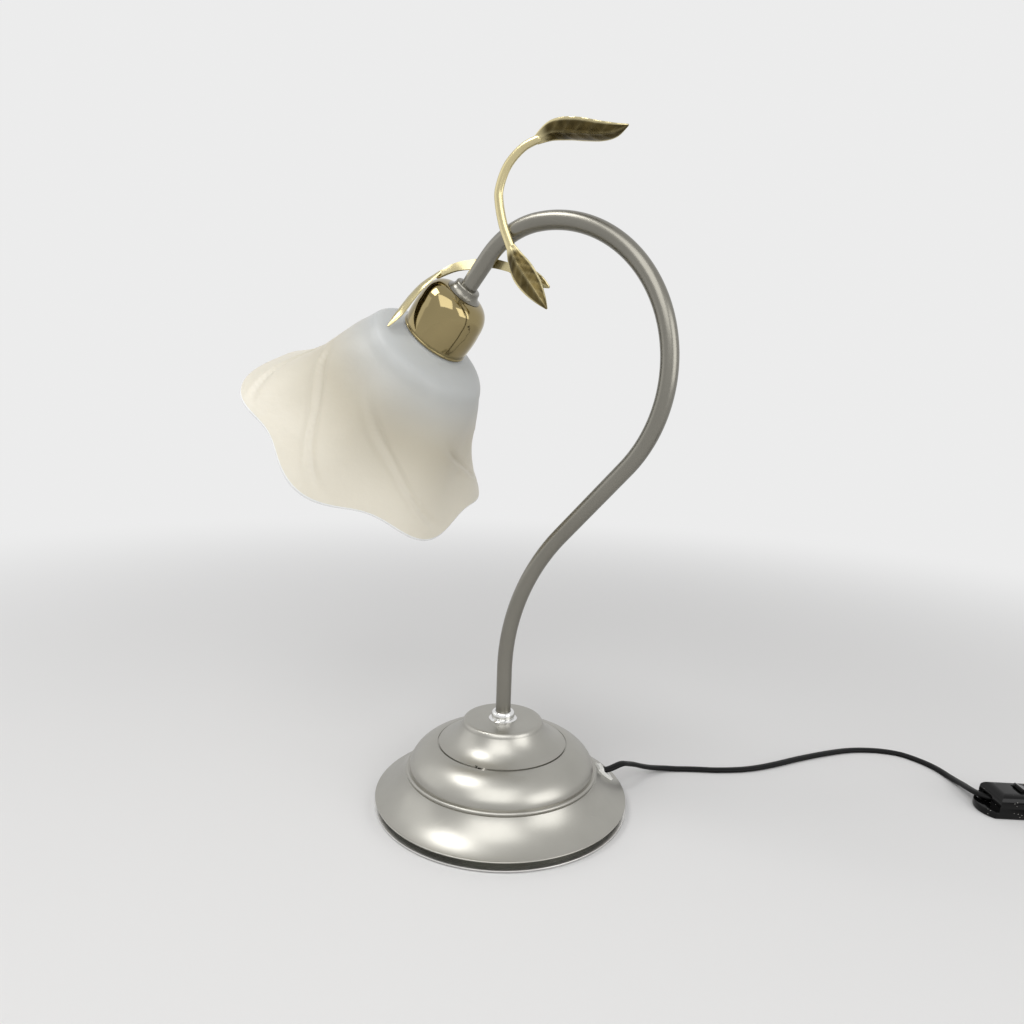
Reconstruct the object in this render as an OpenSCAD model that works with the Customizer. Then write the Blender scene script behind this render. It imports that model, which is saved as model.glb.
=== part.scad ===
// Table lamp with a bent stem, brass leaf sprays and a frosted tulip glass shade.
// Millimetres. Origin: centre of the base on the table. +Z is up.
// The stem bends in the XZ plane: its bow lies towards +X, the shade hangs towards -X.

/* [Base] */
// Radius of the foot's rim
foot_r = 86; // [82:0.5:92]
// Height of the foot's rim above the table
rim_z = 7.5; // [6.5:0.1:9]
// Height of the bead between the foot and the middle tier
bead_z = 25.6; // [23:0.1:28]
// Radius of the bead's round
bead_round = 1.3; // [0.9:0.1:1.6]
// Radius of the middle tier at its foot
tier_r = 62.6; // [59:0.1:66]
// Height of the middle tier's top
tier_z = 44; // [41:0.1:47]
// Radius of the crown at its foot
crown_r = 43; // [40:0.1:46]
// Height of the crown
crown_h = 17.2; // [15:0.1:20]
// Radius of the crown's flat top
crown_top_r = 25.4; // [22:0.1:28]
// Wall of the spun base pressings
spun_t = 1.2; // [0.8:0.1:1.6]
// Thickness of the closing plate
plate_t = 1.2; // [0.8:0.1:2]
// Thickness of the felt pad
felt_t = 0.8; // [0.5:0.1:1.5]
// Height of the cast weight
ballast_h = 18; // [12:0.5:20]

/* [Stem] */
// Outside diameter of the stem tube
neck_d = 10; // [9:0.1:11]
// Wall of the stem tube
neck_t = 1; // [0.8:0.1:1.5]
// Height at which the stem starts to bend
rise_z = 95; // [88:0.5:102]
// Radius of the first bend, away from the shade
bend1_r = 140; // [125:1:155]
// Angle of the first bend
bend1_a = 42.5; // [38:0.5:46]
// Straight length between the bends
lean_len = 58; // [48:0.5:68]
// Radius of the large bend
bend2_r = 78; // [70:0.5:86]
// Angle of the large bend
bend2_a = 137; // [130:0.5:142]
// Radius of the tight last bend
bend3_r = 49.5; // [42:0.5:56]
// Angle of the head from straight down
head_a = 42; // [36:0.5:48]
// Straight length between the last bend and the head
drop_len = 20; // [14:0.5:26]
// Length of the thread past the head ferrule and below the ballast
thread_len = 9; // [8:0.1:10]

/* [Head] */
// Length of the brass cup
cup_len = 33; // [30:0.5:36]
// Radius of the brass cup at its rim
cup_r = 21.4; // [20.6:0.1:23]
// Wall of the brass cup
cup_t = 0.8; // [0.6:0.1:1]
// Height of the head ferrule above the cup
ferrule_h = 6; // [5:0.1:8]
// Length of the lampholder barrel
holder_len = 24.5; // [22:0.5:27]
// Radius of the lampholder's outer thread
holder_r = 14; // [13.5:0.1:14.5]
// Thickness of the lampholder's shoulder
shoulder_t = 2; // [1.5:0.1:3]
// Height of the ring nut
ring_h = 5.2; // [4:0.1:7]
// Radius of the lamp cap's thread
cap_r = 7; // [6.7:0.05:7.1]
// Radius of the bulb
bulb_r = 22.5; // [18:0.5:24]

/* [Shade] */
// Wall of the glass
glass_t = 2.6; // [2:0.1:3]
// Distance from the glass flange to the mean rim, along the head
shade_len = 98; // [90:0.5:106]
// Mean radius of the rim
rim_r = 85.2; // [78:0.2:92]
// Number of lobes round the rim
lobes = 6; // [5:1:7]
// How far the lobes stand out of the mean rim
lobe_out = 4.1; // [2:0.1:6]
// How far the lobes hang below the mean rim
lobe_down = 3.3; // [1:0.1:5]
// How far the hand-bent rim is longer on one side
rim_slant = 7.5; // [4:0.1:10]
// How far the hand-bent mouth lies off the head's axis
mouth_shift = 3.3; // [0:0.1:6]
// How far the shoulder stands out on the outer side
belly_shift = 2.8; // [0:0.1:4]

/* [Leaves] */
// Width of the sprays' stems
spray_w = 5.6; // [4.6:0.1:6.2]
// Height of the stems' half-round section
spray_h = 1.7; // [1.2:0.1:2.2]
// Thickness of the leaves
leaf_t = 0.9; // [0.7:0.1:1.2]

/* [Cord] */
// Width of the flat cord
cord_w = 5.4; // [5:0.1:5.8]
// Height of the flat cord
cord_h = 3.4; // [3:0.1:3.8]
// Turns in each of the coil's two layers
coil_turns = 3.5; // [2:0.5:4]
// Radius of the coil at its outer turn
coil_r = 42; // [39:0.5:45]

/* [Switch and plug] */
// Length of the in-line switch
switch_len = 66; // [62:0.5:70]
// Width of the in-line switch
switch_w = 26.5; // [25:0.5:30]
// Height of the in-line switch
switch_h = 17; // [16:0.1:19]
// Wall of the switch's halves
switch_t = 1.6; // [1.2:0.1:2]
// Width of the rocker
rocker_w = 10; // [8:0.1:12]
// Length of the rocker
rocker_len = 17; // [15:0.1:19]
// Angle of the rocker at rest; it swings by twice this angle
rocker_a = 8; // [6:0.5:10]
// Length of the plug's body
plug_len = 35; // [32:0.5:38]
// Width of the plug's body at its face
plug_w = 35; // [33:0.5:37]
// Height of the plug's body
plug_h = 13.8; // [13:0.1:15]

/* [Hidden] */
$fn = 64;

// Clearances
slip = 0.05;        // a piece threaded or slid on a tube or pin
seat_gap = 0.15;    // a piece dropped into its seat
run_gap = 0.4;      // a piece that moves beside another

// ---------- curves ----------
// Points of a cubic curve through two ends and two handles
function bezier(a, b, c, d, n) =
    [for (i = [0:n]) let (t = i / n, s = 1 - t) s*s*s*a + 3*s*s*t*b + 3*s*t*t*c + t*t*t*d];

function unit(v) = v / norm(v);
function last(v) = v[len(v) - 1];

// Direction of a list of points at point i
function heading(p, i) = unit(p[min(i + 1, len(p) - 1)] - p[max(i - 1, 0)]);

// A profile moved by a distance to its left side, as seen along the profile
function beside(p, d) =
    [for (i = [0:len(p) - 1]) let (h = heading(p, i)) p[i] + d * [-h[1], h[0]]];

// A smooth curve through a list of equal-length rows, n steps between two rows
function between(p, i, t) =
    let (a = p[max(i - 1, 0)], b = p[i], c = p[i + 1], d = p[min(i + 2, len(p) - 1)])
    0.5 * (2*b + t*(c - a) + t*t*(2*a - 5*b + 4*c - d) + t*t*t*(3*b - a - 3*c + d));
function smooth(p, n) =
    concat([for (i = [0:len(p) - 2]) for (k = [0:n - 1]) between(p, i, k / n)], [last(p)]);
function part_of(row, from, to) = [for (i = [from:to]) row[i]];
function ease(t) = let (s = min(1, max(0, t))) s * s * (3 - 2 * s);

// ---------- skins ----------
// A closed solid through equal rings of points: rings[i][j]
module skin(rings, closed = false) {
    n = len(rings[0]);
    m = len(rings);
    points = [for (ring = rings) for (p = ring) p];
    sides = [for (i = [0:m - (closed ? 1 : 2)]) for (j = [0:n - 1])
        let (a = i * n + j, b = i * n + (j + 1) % n,
             c = ((i + 1) % m) * n + j, d = ((i + 1) % m) * n + (j + 1) % n)
        each [[a, b, c], [b, d, c]]];
    ends = closed ? [] : [[for (j = [n - 1:-1:0]) j], [for (j = [0:n - 1]) (m - 1) * n + j]];
    polyhedron(points, concat(sides, ends), convexity = 8);
}

// Rings of a flat cord along a path; across gives its wide direction at point i
function level_across(p, i) = unit(cross([0, 0, 1], heading(p, i)));
function cord_rings(p, across, w, h, sides) =
    [for (i = [0:len(p) - 1])
        let (a = across[i], up = cross(heading(p, i), a))
        [for (j = [0:sides - 1]) let (q = 360 * (j + 0.5) / sides)
            p[i] + a * (w / 2 * cos(q)) + up * (h / 2 * sin(q))]];

// A ribbon through stations [x, y, z, side x, side y, side z, half width, bow, crown]
// bow lifts the middle of the section, crown rounds its upper face
function ribbon_ring(s, i, cells, edge) =
    let (path = [for (q = s) part_of(q, 0, 2)],
         along = heading(path, i),
         raw = part_of(s[i], 3, 5),
         side = unit(raw - along * (raw * along)),
         up = cross(along, side),
         w = s[i][6], bow = s[i][7], crown = s[i][8])
    concat(
        [for (k = [0:cells]) let (u = 2 * k / cells - 1)
            path[i] + side * (w * u) + up * (bow * (1 - u*u) + crown * sqrt(max(0, 1 - u*u)) + edge / 2)],
        [for (k = [cells:-1:0]) let (u = 2 * k / cells - 1)
            path[i] + side * (w * u) + up * (bow * (1 - u*u) - edge / 2)]);
module ribbon(stations, steps, cells, edge) {
    s = smooth(stations, steps);
    skin([for (i = [0:len(s) - 1]) ribbon_ring(s, i, cells, edge)]);
}

// ---------- base ----------
plate_z = felt_t;
floor_z = felt_t + plate_t;
groove_r = foot_r - 3.6;
lip_r = foot_r + 0.4;
seat_z = tier_z - 0.6;                  // recessed seat of the crown
seat_r = crown_r + 0.7;
crown_z = seat_z + crown_h;
hole_r = neck_d / 2 + slip;
ballast_top = seat_z - spun_t;
lock_t = 1;
nut_top = ballast_top - ballast_h - lock_t;
lock_nut_h = 6;
lock_nut_r = 8.08;                      // corners of a 14 mm hexagon
neck_foot_z = nut_top - lock_nut_h - 2;

// The foot's flare from the rim up to the bead, and the middle tier above it
flare = bezier([foot_r - 0.4, rim_z], [foot_r - 6.5, rim_z + 2],
               [tier_r + 7.6, rim_z + 7.5], [tier_r + 2.8, bead_z - 1.2], 12);
tier = bezier([tier_r, bead_z + bead_round], [tier_r + 0.4, bead_z + 8.6],
              [seat_r + 8.2, tier_z - 0.4], [seat_r, tier_z], 12);
bead = [for (q = [-50:20:110]) [tier_r + 1.2, bead_z] + bead_round * [cos(q), sin(q)]];
inner_flare = [for (p = beside(flare, spun_t)) if (p[0] < groove_r - spun_t) p];
inner_tier = [for (p = beside(tier, spun_t)) if (p[1] < ballast_top) p];

module base_outline() {
    polygon(concat(
        [[groove_r - spun_t, floor_z], [groove_r, floor_z], [groove_r, rim_z - 2.4],
         [groove_r + 1.6, rim_z - 1.3], [foot_r, rim_z - 0.9]],
        flare, bead, tier,
        [[seat_r, seat_z], [hole_r, seat_z], [hole_r, ballast_top], [seat_r - 2, ballast_top]],
        [for (i = [len(inner_tier) - 1:-1:0]) inner_tier[i]],
        [for (i = [len(inner_flare) - 1:-1:0]) inner_flare[i]],
        [[groove_r - spun_t, rim_z - 0.8]]));
}

module base_shell() {
    color("silver")
    difference() {
        rotate_extrude() base_outline();
        at_clip() clip_window(seat_gap);
    }
}

crown_curve = concat(
    bezier([crown_r, seat_z + 1], [crown_r - 6, seat_z + 2.4],
           [crown_top_r + 5.6, seat_z + 6.6], [crown_top_r + 2, crown_z - 3.4], 10),
    bezier([crown_top_r + 1.9, crown_z - 3.2], [crown_top_r + 1.3, crown_z - 1],
           [crown_top_r + 0.6, crown_z], [crown_top_r - 1.4, crown_z], 5));
module base_crown() {
    color("silver")
    rotate_extrude() polygon(concat(
        [[crown_r - spun_t, seat_z], [crown_r, seat_z]],
        crown_curve,
        [[hole_r, crown_z], [hole_r, crown_z - spun_t]],
        [for (i = [len(crown_curve) - 1:-1:2]) crown_curve[i] + [-0.9, -0.9] * spun_t]));
}

module ballast() {
    low = ballast_top - ballast_h;
    wide = tier_r - spun_t - 5;
    color("dimgray")
    rotate_extrude() polygon([
        [hole_r, low], [wide, low], [wide, low + ballast_h * 0.4],
        [seat_r - 4, ballast_top - 1.5], [seat_r - 7, ballast_top], [hole_r, ballast_top]]);
}

module bottom_plate() {
    rib_r = groove_r - spun_t - seat_gap;
    color("gainsboro")
    rotate_extrude() polygon([
        [0, plate_z], [lip_r - 0.5, plate_z], [lip_r, plate_z + 0.4], [lip_r, floor_z - 0.4],
        [lip_r - 0.5, floor_z], [rib_r, floor_z], [rib_r, floor_z + 3.5],
        [rib_r - plate_t, floor_z + 3.5], [rib_r - plate_t, floor_z], [0, floor_z]]);
}

module felt_pad() {
    color("darkolivegreen") cylinder(r = groove_r - 3, h = felt_t);
}

// ---------- pieces on the stem's lower end ----------
washer_t = 1;
washer_r = 9.5;
collar_h = 4.8;
collar_r = 7.8;
module stem_washer() {
    color("silver")
    translate([0, 0, crown_z])
    rotate_extrude() polygon([[hole_r, 0], [washer_r, 0], [washer_r, 0.3],
                              [washer_r - 1.4, washer_t], [hole_r, washer_t]]);
}

module stem_collar() {
    top = bezier([collar_r, 1], [collar_r, collar_h - 0.6],
                 [collar_r - 1, collar_h], [hole_r + 0.4, collar_h], 6);
    color("whitesmoke")
    translate([0, 0, crown_z + washer_t])
    rotate_extrude() polygon(concat([[hole_r, 0], [collar_r - 0.5, 0]], top, [[hole_r, collar_h]]));
}

module lock_washer() {
    teeth = 10;
    color("silver")
    translate([0, 0, nut_top])
    linear_extrude(lock_t) difference() {
        union() {
            circle(r = 8.4);
            for (i = [0:teeth - 1]) rotate(360 / teeth * i) translate([8, -0.9]) square([1.8, 1.8]);
        }
        circle(r = hole_r);
    }
}

module lock_nut() {
    color("silver")
    translate([0, 0, nut_top - lock_nut_h])
    difference() {
        cylinder(r = lock_nut_r, h = lock_nut_h, $fn = 6);
        translate([0, 0, -1]) cylinder(r = hole_r, h = lock_nut_h + 2);
    }
}

// ---------- cord clip ----------
clip_az = 43;                           // direction of the cord's exit from +X
clip_tilt = 12;                         // the exit points up by this angle
clip_seat = flare[7];
clip_out = 2;                           // the cord shows from here on
clip_w = 8;                             // tongue that goes through the wall
clip_h = 7.6;
plate_len = 13;                         // flange plate that lies on the slope
plate_w = 10;
plate_out = 2.2;
slope = atan2(flare[6][1] - flare[8][1], flare[6][0] - flare[8][0]);
clip_dir = [cos(clip_az) * cos(clip_tilt), sin(clip_az) * cos(clip_tilt), sin(clip_tilt)];
clip_root = [clip_seat[0] * cos(clip_az), clip_seat[0] * sin(clip_az), clip_seat[1] + 1.6];
cord_exit = clip_root + clip_out * clip_dir;
module at_clip() {
    translate(clip_root) rotate([0, 0, clip_az]) rotate([0, -clip_tilt, 0]) children();
}
module clip_window(gap) {
    translate([-9, -clip_w / 2 - gap, -clip_h / 2 - gap])
        cube([16, clip_w + 2 * gap, clip_h + 2 * gap]);
}
module cord_clip() {
    color("white")
    difference() {
        union() {
            difference() {
                rotate([0, 0, clip_az]) translate([clip_seat[0], 0, clip_seat[1]]) rotate([0, -slope, 0])
                    translate([-plate_len / 2, -plate_w / 2, -2])
                    cube([plate_len, plate_w, plate_out + 2]);
                rotate_extrude() polygon(concat([[0, 0], [foot_r, 0]], beside(flare, -slip), [[0, bead_z]]));
            }
            intersection() {
                at_clip() clip_window(0);
                at_clip() translate([-6, -clip_w, -clip_h]) cube([6.4, 2 * clip_w, 2 * clip_h]);
            }
        }
        at_clip() rotate([0, 90, 0]) translate([0, 0, -12]) cylinder(r = cord_w / 2 + seat_gap, h = 24);
    }
}

// ---------- stem ----------
// Headings are angles from straight up towards +X. Points are [x, z].
function face_dir(h) = [cos(h), -sin(h)];
function run_dir(h) = [sin(h), cos(h)];
head1 = bend1_a;
head2 = bend1_a - bend2_a;
head3 = -(180 - head_a);
center1 = [bend1_r, rise_z];
bend1_end = center1 - bend1_r * face_dir(head1);
lean_end = bend1_end + lean_len * run_dir(head1);
center2 = lean_end - bend2_r * face_dir(head1);
bend2_end = center2 + bend2_r * face_dir(head2);
center3 = bend2_end - bend3_r * face_dir(head2);
bend3_end = center3 + bend3_r * face_dir(head3);
head_at = bend3_end + drop_len * run_dir(head3);

// Every second length of the run is a hair thinner and reaches a little into its neighbours.
hair = 0.02;
lap = 0.5;
module arc(center, bend_r, h, angle, r, over) {
    more = over / bend_r * 180 / PI;
    translate([center[0], 0, center[1]]) rotate([90, 0, 0]) rotate([0, 0, h - more])
        rotate_extrude(angle = angle + 2 * more) translate([bend_r, 0]) circle(r = r);
}
module run(from, h, length, r, before, after) {
    translate([from[0], 0, from[1]]) rotate([0, h, 0]) translate([0, 0, -before])
        cylinder(r = r, h = length + before + after);
}
// The whole run of the stem with a given radius, from a height up to a point past the head
module stem_run(r, low_z, past) {
    run([0, low_z], 0, rise_z - low_z, r - hair, 0, lap);
    arc(center1, bend1_r, 180 - head1, bend1_a, r, 0);
    run(bend1_end, head1, lean_len, r - hair, lap, lap);
    arc(center2, bend2_r, -head1, bend2_a, r, 0);
    arc(center3, bend3_r, -head2, head2 - head3, r - hair, lap);
    run(bend3_end, head3, drop_len + past, r, 0, 0);
}
module gooseneck() {
    color("darkgray")
    difference() {
        stem_run(neck_d / 2, neck_foot_z, thread_len);
        stem_run(neck_d / 2 - neck_t, neck_foot_z - 1, thread_len + 1);
    }
}

flex_r = 2.7;
module inner_flex() {
    color("black")
    stem_run(flex_r, neck_foot_z, holder_z - head_gap);
}
module base_flex() {
    across = [-sin(clip_az), cos(clip_az), 0];
    low = floor_z + flex_r + 0.4;
    radial = [[clip_seat[0] - 9, clip_root[2] - 3], [46, low + 7], [36, low + 2.6], [26, low + 0.4],
              [15, low], [6, low + 0.5], [2, low + 2.6], [0.4, low + 5.4]];
    route = concat([cord_exit, cord_exit - 8 * clip_dir],
                   [for (p = radial) [p[0] * cos(clip_az), p[0] * sin(clip_az), p[1]]],
                   [[0, 0, neck_foot_z - 3], [0, 0, neck_foot_z]]);
    color("black")
    skin(cord_rings(route, [for (p = route) across], 2 * flex_r, 2 * flex_r, 8));
}

// ---------- leaf sprays ----------
// Each spray is brazed to the stem at one point; its stations are counted from there.
touch = neck_d / 2 + spray_h * 0.3;
function on_bend3(h) = let (p = center3 + bend3_r * face_dir(h)) [p[0], 0, p[1]];
front_at = on_bend3(-112) + [0, -touch, 0];
rear_at = on_bend3(-137) + [0, touch, 0];
flat_side = [0.64, 0, -0.77];

function stem_row(p, side, w) = concat(p, side, [w, 0, spray_h]);
half = spray_w / 2;
front_rows = [
    stem_row([16.5, 3.2, 43.6], [0.5, -0.2, -0.9], half * 0.8),
    stem_row([6.3, 1.8, 40.2], [0.5, -0.1, -0.9], half * 0.85),
    stem_row([-3, 0.8, 32.3], [0.85, 0, -0.5], half * 0.95),
    stem_row([-7.7, 0.2, 21.6], [1, 0, -0.1], half),
    stem_row([-7.6, 0, 14], [1, 0, 0.1], half),
    stem_row([-5, 0, 3.8], [0.95, 0, 0.35], half),
    stem_row([-1.8, 0, -3.8], [0.9, 0, 0.45], half),
    stem_row([2.6, -0.6, -12], [0.85, 0, 0.5], half * 1.05)];
module stem_front() {
    color("goldenrod") translate(front_at) ribbon(front_rows, 3, 6, 0.5);
}

// A leaf: bowed blade that swells from its stalk and ends in a point
function leaf_row(p, side, w, bow) = concat(p, side, [w, bow, 0]);
module leaf_low() {
    rows = [
        leaf_row([1.8, -1.4, -9.5], [0.85, 0, 0.5], 2.8, 0.4),
        leaf_row([5.4, -1.8, -16], [0.8, 0.1, 0.62], 5, 1.5),
        leaf_row([11.1, -2.6, -23.4], [0.75, 0.2, 0.66], 6.6, 2.2),
        leaf_row([17.8, -3.6, -30.8], [0.7, 0.3, 0.7], 5.9, 2),
        leaf_row([24.4, -4.8, -37.8], [0.66, 0.3, 0.75], 3.4, 1.2),
        leaf_row([29.4, -5.8, -43.2], [0.66, 0.3, 0.75], 0.5, 0.2)];
    color("goldenrod") translate(front_at) ribbon(rows, 3, 6, leaf_t);
}
module leaf_top() {
    rows = [
        leaf_row([13.6, 2.6, 42.8], [-0.4, -0.3, 0.85], 2.6, 0.3),
        leaf_row([22.5, 2.4, 45.8], [-0.1, -0.6, 0.78], 5.4, 1.2),
        leaf_row([32, 2, 45.6], [0, -0.78, 0.62], 7.3, 1.9),
        leaf_row([42, 1.4, 43.8], [0, -0.8, 0.6], 7.6, 1.8),
        leaf_row([52.5, 0.4, 41.4], [0, -0.8, 0.6], 6.5, 1.4),
        leaf_row([61.5, -0.8, 40.3], [0, -0.8, 0.6], 4.4, 0.8),
        leaf_row([69.2, -1.6, 41.1], [0, -0.8, 0.6], 0.5, 0.1)];
    color("goldenrod") translate(front_at) ribbon(rows, 3, 6, leaf_t);
}

rear_rows = [
    stem_row([14.4, 1.5, -6.8], [-0.3, 0, -0.95], half * 0.85),
    stem_row([5.9, 0.5, -4.2], [-0.3, 0, -0.95], half * 0.9),
    stem_row([-2.1, 0, -2.5], [-0.1, 0, -1], half * 0.95),
    stem_row([-9.1, -0.5, -2.2], [0, -0.05, -1], half),
    stem_row([-14.2, -2.5, -2.9], [0.1, -0.25, -0.95], half),
    stem_row([-21.6, -9.5, -5.1], [0.2, -0.5, -0.85], half),
    stem_row([-29.6, -17.8, -10.6], [0.4, -0.7, -0.6], half * 0.9)];
module stem_rear() {
    color("goldenrod") translate(rear_at) mirror_ribbon(rear_rows, 3, 6, 0.5);
}
// The same ribbon with its round face on the other side
module mirror_ribbon(rows, steps, cells, edge) {
    ribbon([for (r = rows) concat(part_of(r, 0, 2), [-r[3], -r[4], -r[5]], part_of(r, 6, 8))],
           steps, cells, edge);
}
module leaf_cup() {
    rows = [
        leaf_row([-27.3, -16.2, -8.2], [0.44, -0.81, -0.39], 2.6, -0.2),
        leaf_row([-34.4, -22.9, -15.8], [0.56, -0.66, -0.5], 4.4, -0.7),
        leaf_row([-40.9, -26.2, -23], [0.6, -0.59, -0.54], 4.8, -0.8),
        leaf_row([-46.2, -30.8, -31.7], [0.66, -0.47, -0.59], 3.4, -0.5),
        leaf_row([-49.2, -38.4, -40.2], [0.71, -0.28, -0.64], 0.5, -0.1)];
    color("goldenrod") translate(rear_at) mirror_ribbon(rows, 3, 6, leaf_t);
}
module leaf_back() {
    rows = [
        leaf_row([9.9, 2.1, -5.4], [-0.35, 0.2, -0.92], 2.4, 0.3),
        leaf_row([16.6, 2.8, -7.7], [-0.4, 0.3, -0.88], 4, 0.9),
        leaf_row([24, 3, -10.8], [-0.42, 0.3, -0.86], 4.4, 1),
        leaf_row([31, 3, -14], [-0.45, 0.3, -0.84], 3.2, 0.6),
        leaf_row([36.7, 3, -17.1], [-0.45, 0.3, -0.84], 0.6, 0.1)];
    color("goldenrod") translate(rear_at) mirror_ribbon(rows, 3, 6, leaf_t);
}

// ---------- head ----------
// Distances along the head's axis from the ferrule's upper rim towards the mouth
module at_head() { translate([head_at[0], 0, head_at[1]]) rotate([0, head3, 0]) children(); }
head_gap = 0.1;
cup_z = ferrule_h - 0.5;
cup_rim_z = cup_z + cup_len;
cap_z = cup_z + cup_t;
holder_z = cap_z + 14.2;
shoulder_z = holder_z + 4.3;
flange_z = shoulder_z + shoulder_t;
flange_t = 3;
ring_z = flange_z + flange_t + head_gap;
neck_r = cup_r - cup_t - run_gap;       // the glass neck fits inside the cup
flange_hole_r = holder_r + seat_gap;
shell_t = 0.45;

module head_ferrule() {
    flare_f = bezier([8, 1.2], [8, ferrule_h * 0.5], [8.6, cup_z - 1.8], [11, cup_z - 0.6], 6);
    color("darkgray")
    at_head() rotate_extrude() polygon(concat(
        [[hole_r, 0], [7.2, 0], [8, 0.5]], flare_f,
        [[10.9, cup_z - slip], [hole_r, cup_z - slip]]));
}

cup_curve = concat(
    bezier([11, cup_z], [16.4, cup_z + 0.9], [cup_r - 0.6, cup_z + 4.4], [cup_r - 0.1, cup_z + 14], 9),
    bezier([cup_r, cup_z + 15], [cup_r + 0.7, cup_z + cup_len * 0.6],
           [cup_r + 0.5, cup_z + cup_len * 0.8], [cup_r, cup_rim_z], 6));
module brass_cup() {
    inner = beside(cup_curve, cup_t);
    color("gold")
    at_head() rotate_extrude() polygon(concat(
        [[hole_r, cup_z]], cup_curve, [[cup_r - cup_t, cup_rim_z]],
        [for (i = [len(inner) - 2:-1:1]) inner[i]], [[9, cap_z], [hole_r, cap_z]]));
}

module holder_cap() {
    color("ivory")
    at_head() rotate_extrude() polygon([
        [hole_r, cap_z], [8.8, cap_z], [holder_r - 1, cap_z + 4], [holder_r - 1, holder_z],
        [holder_r - 3, holder_z], [holder_r - 3, cap_z + 4.6], [8, cap_z + 3.2], [hole_r, cap_z + 3.2]]);
}

bore_r = cap_r + seat_gap + shell_t + slip;
bulb_z = holder_z + 5.2;
module holder_body() {
    color("ivory")
    at_head() difference() {
        rotate_extrude() polygon([
            [0, holder_z], [holder_r - 1, holder_z], [holder_r - 1, shoulder_z - 1.4],
            [neck_r - 3.4, shoulder_z], [neck_r - 3.4, flange_z], [holder_r, flange_z],
            [holder_r, holder_z + holder_len - 1], [holder_r - 1, holder_z + holder_len],
            [bore_r, holder_z + holder_len], [bore_r, bulb_z - 1.4], [0, bulb_z - 1.4]]);
        for (s = [-1, 1]) translate([s * 4, 0, holder_z - 1]) cylinder(r = 1, h = 3);
    }
}
module screw_shell() {
    color("gold")
    at_head() rotate_extrude() translate([bore_r - slip - shell_t, bulb_z - 1.4])
        square([shell_t, holder_len - 5.2]);
}
module centre_contact() {
    color("gold")
    at_head() translate([0, 0, bulb_z - 1.4]) cylinder(r1 = 3.4, r2 = 2.4, h = 1.3);
}
module shade_ring() {
    color("ivory")
    at_head() translate([0, 0, ring_z]) difference() {
        cylinder(r = neck_r - glass_t - 0.5, h = ring_h);
        translate([0, 0, -1]) cylinder(r = holder_r + slip, h = ring_h + 2);
        for (i = [0:3]) rotate(90 * i) translate([neck_r - glass_t - 1.5, -1.5, ring_h - 2]) cube([3, 3, 3]);
    }
}

cap_len = 20.5;
glass_z = bulb_z + cap_len;
module bulb_cap() {
    color("silver")
    at_head() translate([0, 0, bulb_z]) {
        cylinder(r1 = 2.2, r2 = 4.5, h = 2.2);
        translate([0, 0, 2.2]) cylinder(r1 = 5.6, r2 = cap_r, h = 1.6);
        translate([0, 0, 3.8]) cylinder(r = cap_r, h = cap_len - 3.8);
    }
}
module bulb_glass() {
    centre = glass_z + 10 + bulb_r;
    waist = 24;
    wall = 1;
    curve = concat(
        [[cap_r - 0.5, glass_z], [cap_r - 0.3, glass_z + 2]],
        bezier([cap_r, glass_z + 3], [cap_r + 1.2, glass_z + 8],
               [bulb_r * cos(waist) * 0.8, centre - bulb_r * 0.8],
               [bulb_r * cos(waist), centre - bulb_r * sin(waist)], 8),
        [for (q = [-waist + 6:6:84]) [bulb_r * cos(q), centre + bulb_r * sin(q)]]);
    inner = beside(curve, wall);
    color("ivory")
    at_head() rotate_extrude() polygon(concat(
        curve, [[0, centre + bulb_r], [0, centre + bulb_r - wall]],
        [for (i = [len(inner) - 1:-1:1]) inner[i]], [[cap_r - 0.5 - wall, glass_z]]));
}

// ---------- glass shade ----------
// Mean outer profile: distance from the flange along the axis, radius
belly = [[14.6, neck_r + 6], [16.2, neck_r + 11], [18.2, neck_r + 15.6], [20.6, neck_r + 18.6],
         [24, neck_r + 20.8], [28.6, neck_r + 23], [34, neck_r + 26], [41, neck_r + 29.2],
         [50, neck_r + 32.8], [60, neck_r + 36.8]];
flare_span = shade_len - 60;
glass_outer = concat(
    [[0, flange_hole_r], [0, neck_r - 1], [1, neck_r], [7, neck_r], [11.6, neck_r],
     [13.1, neck_r + 2.2]],
    belly,
    [for (k = [1:5]) let (t = k / 5) [60 + flare_span * t,
        neck_r + 36.8 + (rim_r - neck_r - 36.8) * (0.62 * t + 0.38 * t * t)]]);
mouth = last(glass_outer)[0];
around = 72;
lobe_at = 9.5;
slant_at = 85;
function spread(z) = pow(max(0, (z - 38) / (mouth - 38)), 1.35);
function bulge(z) = belly_shift * ease((z - 12) / 12) * (1 - ease((z - 34) / (mouth - 34)));
function glass_point(p, q) =
    let (f = spread(p[0]),
         r = p[1] + f * (lobe_out * cos(lobes * (q - lobe_at)) + mouth_shift * sin(q)),
         z = p[0] + f * (lobe_down * cos(lobes * (q - lobe_at + 3)) - rim_slant * cos(q - slant_at)))
    [r * cos(q) - bulge(p[0]), r * sin(q), flange_z + z];
function thick(i) = glass_t * (i > 7 ? 0.85 : 1);
glass_inner = concat(
    [[flange_t, flange_hole_r], [flange_t, neck_r - glass_t - 0.6], [flange_t + 0.8, neck_r - glass_t]],
    [for (i = [4:len(glass_outer) - 1]) let (h = heading(glass_outer, i))
        glass_outer[i] + thick(i) * [h[1], -h[0]]]);
module glass_shade() {
    profile = concat(glass_outer, [for (i = [len(glass_inner) - 1:-1:0]) glass_inner[i]]);
    color("ivory", 0.8)
    at_head() skin([for (j = [0:around - 1]) [for (p = profile) glass_point(p, 360 * j / around)]],
                   closed = true);
}

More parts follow.
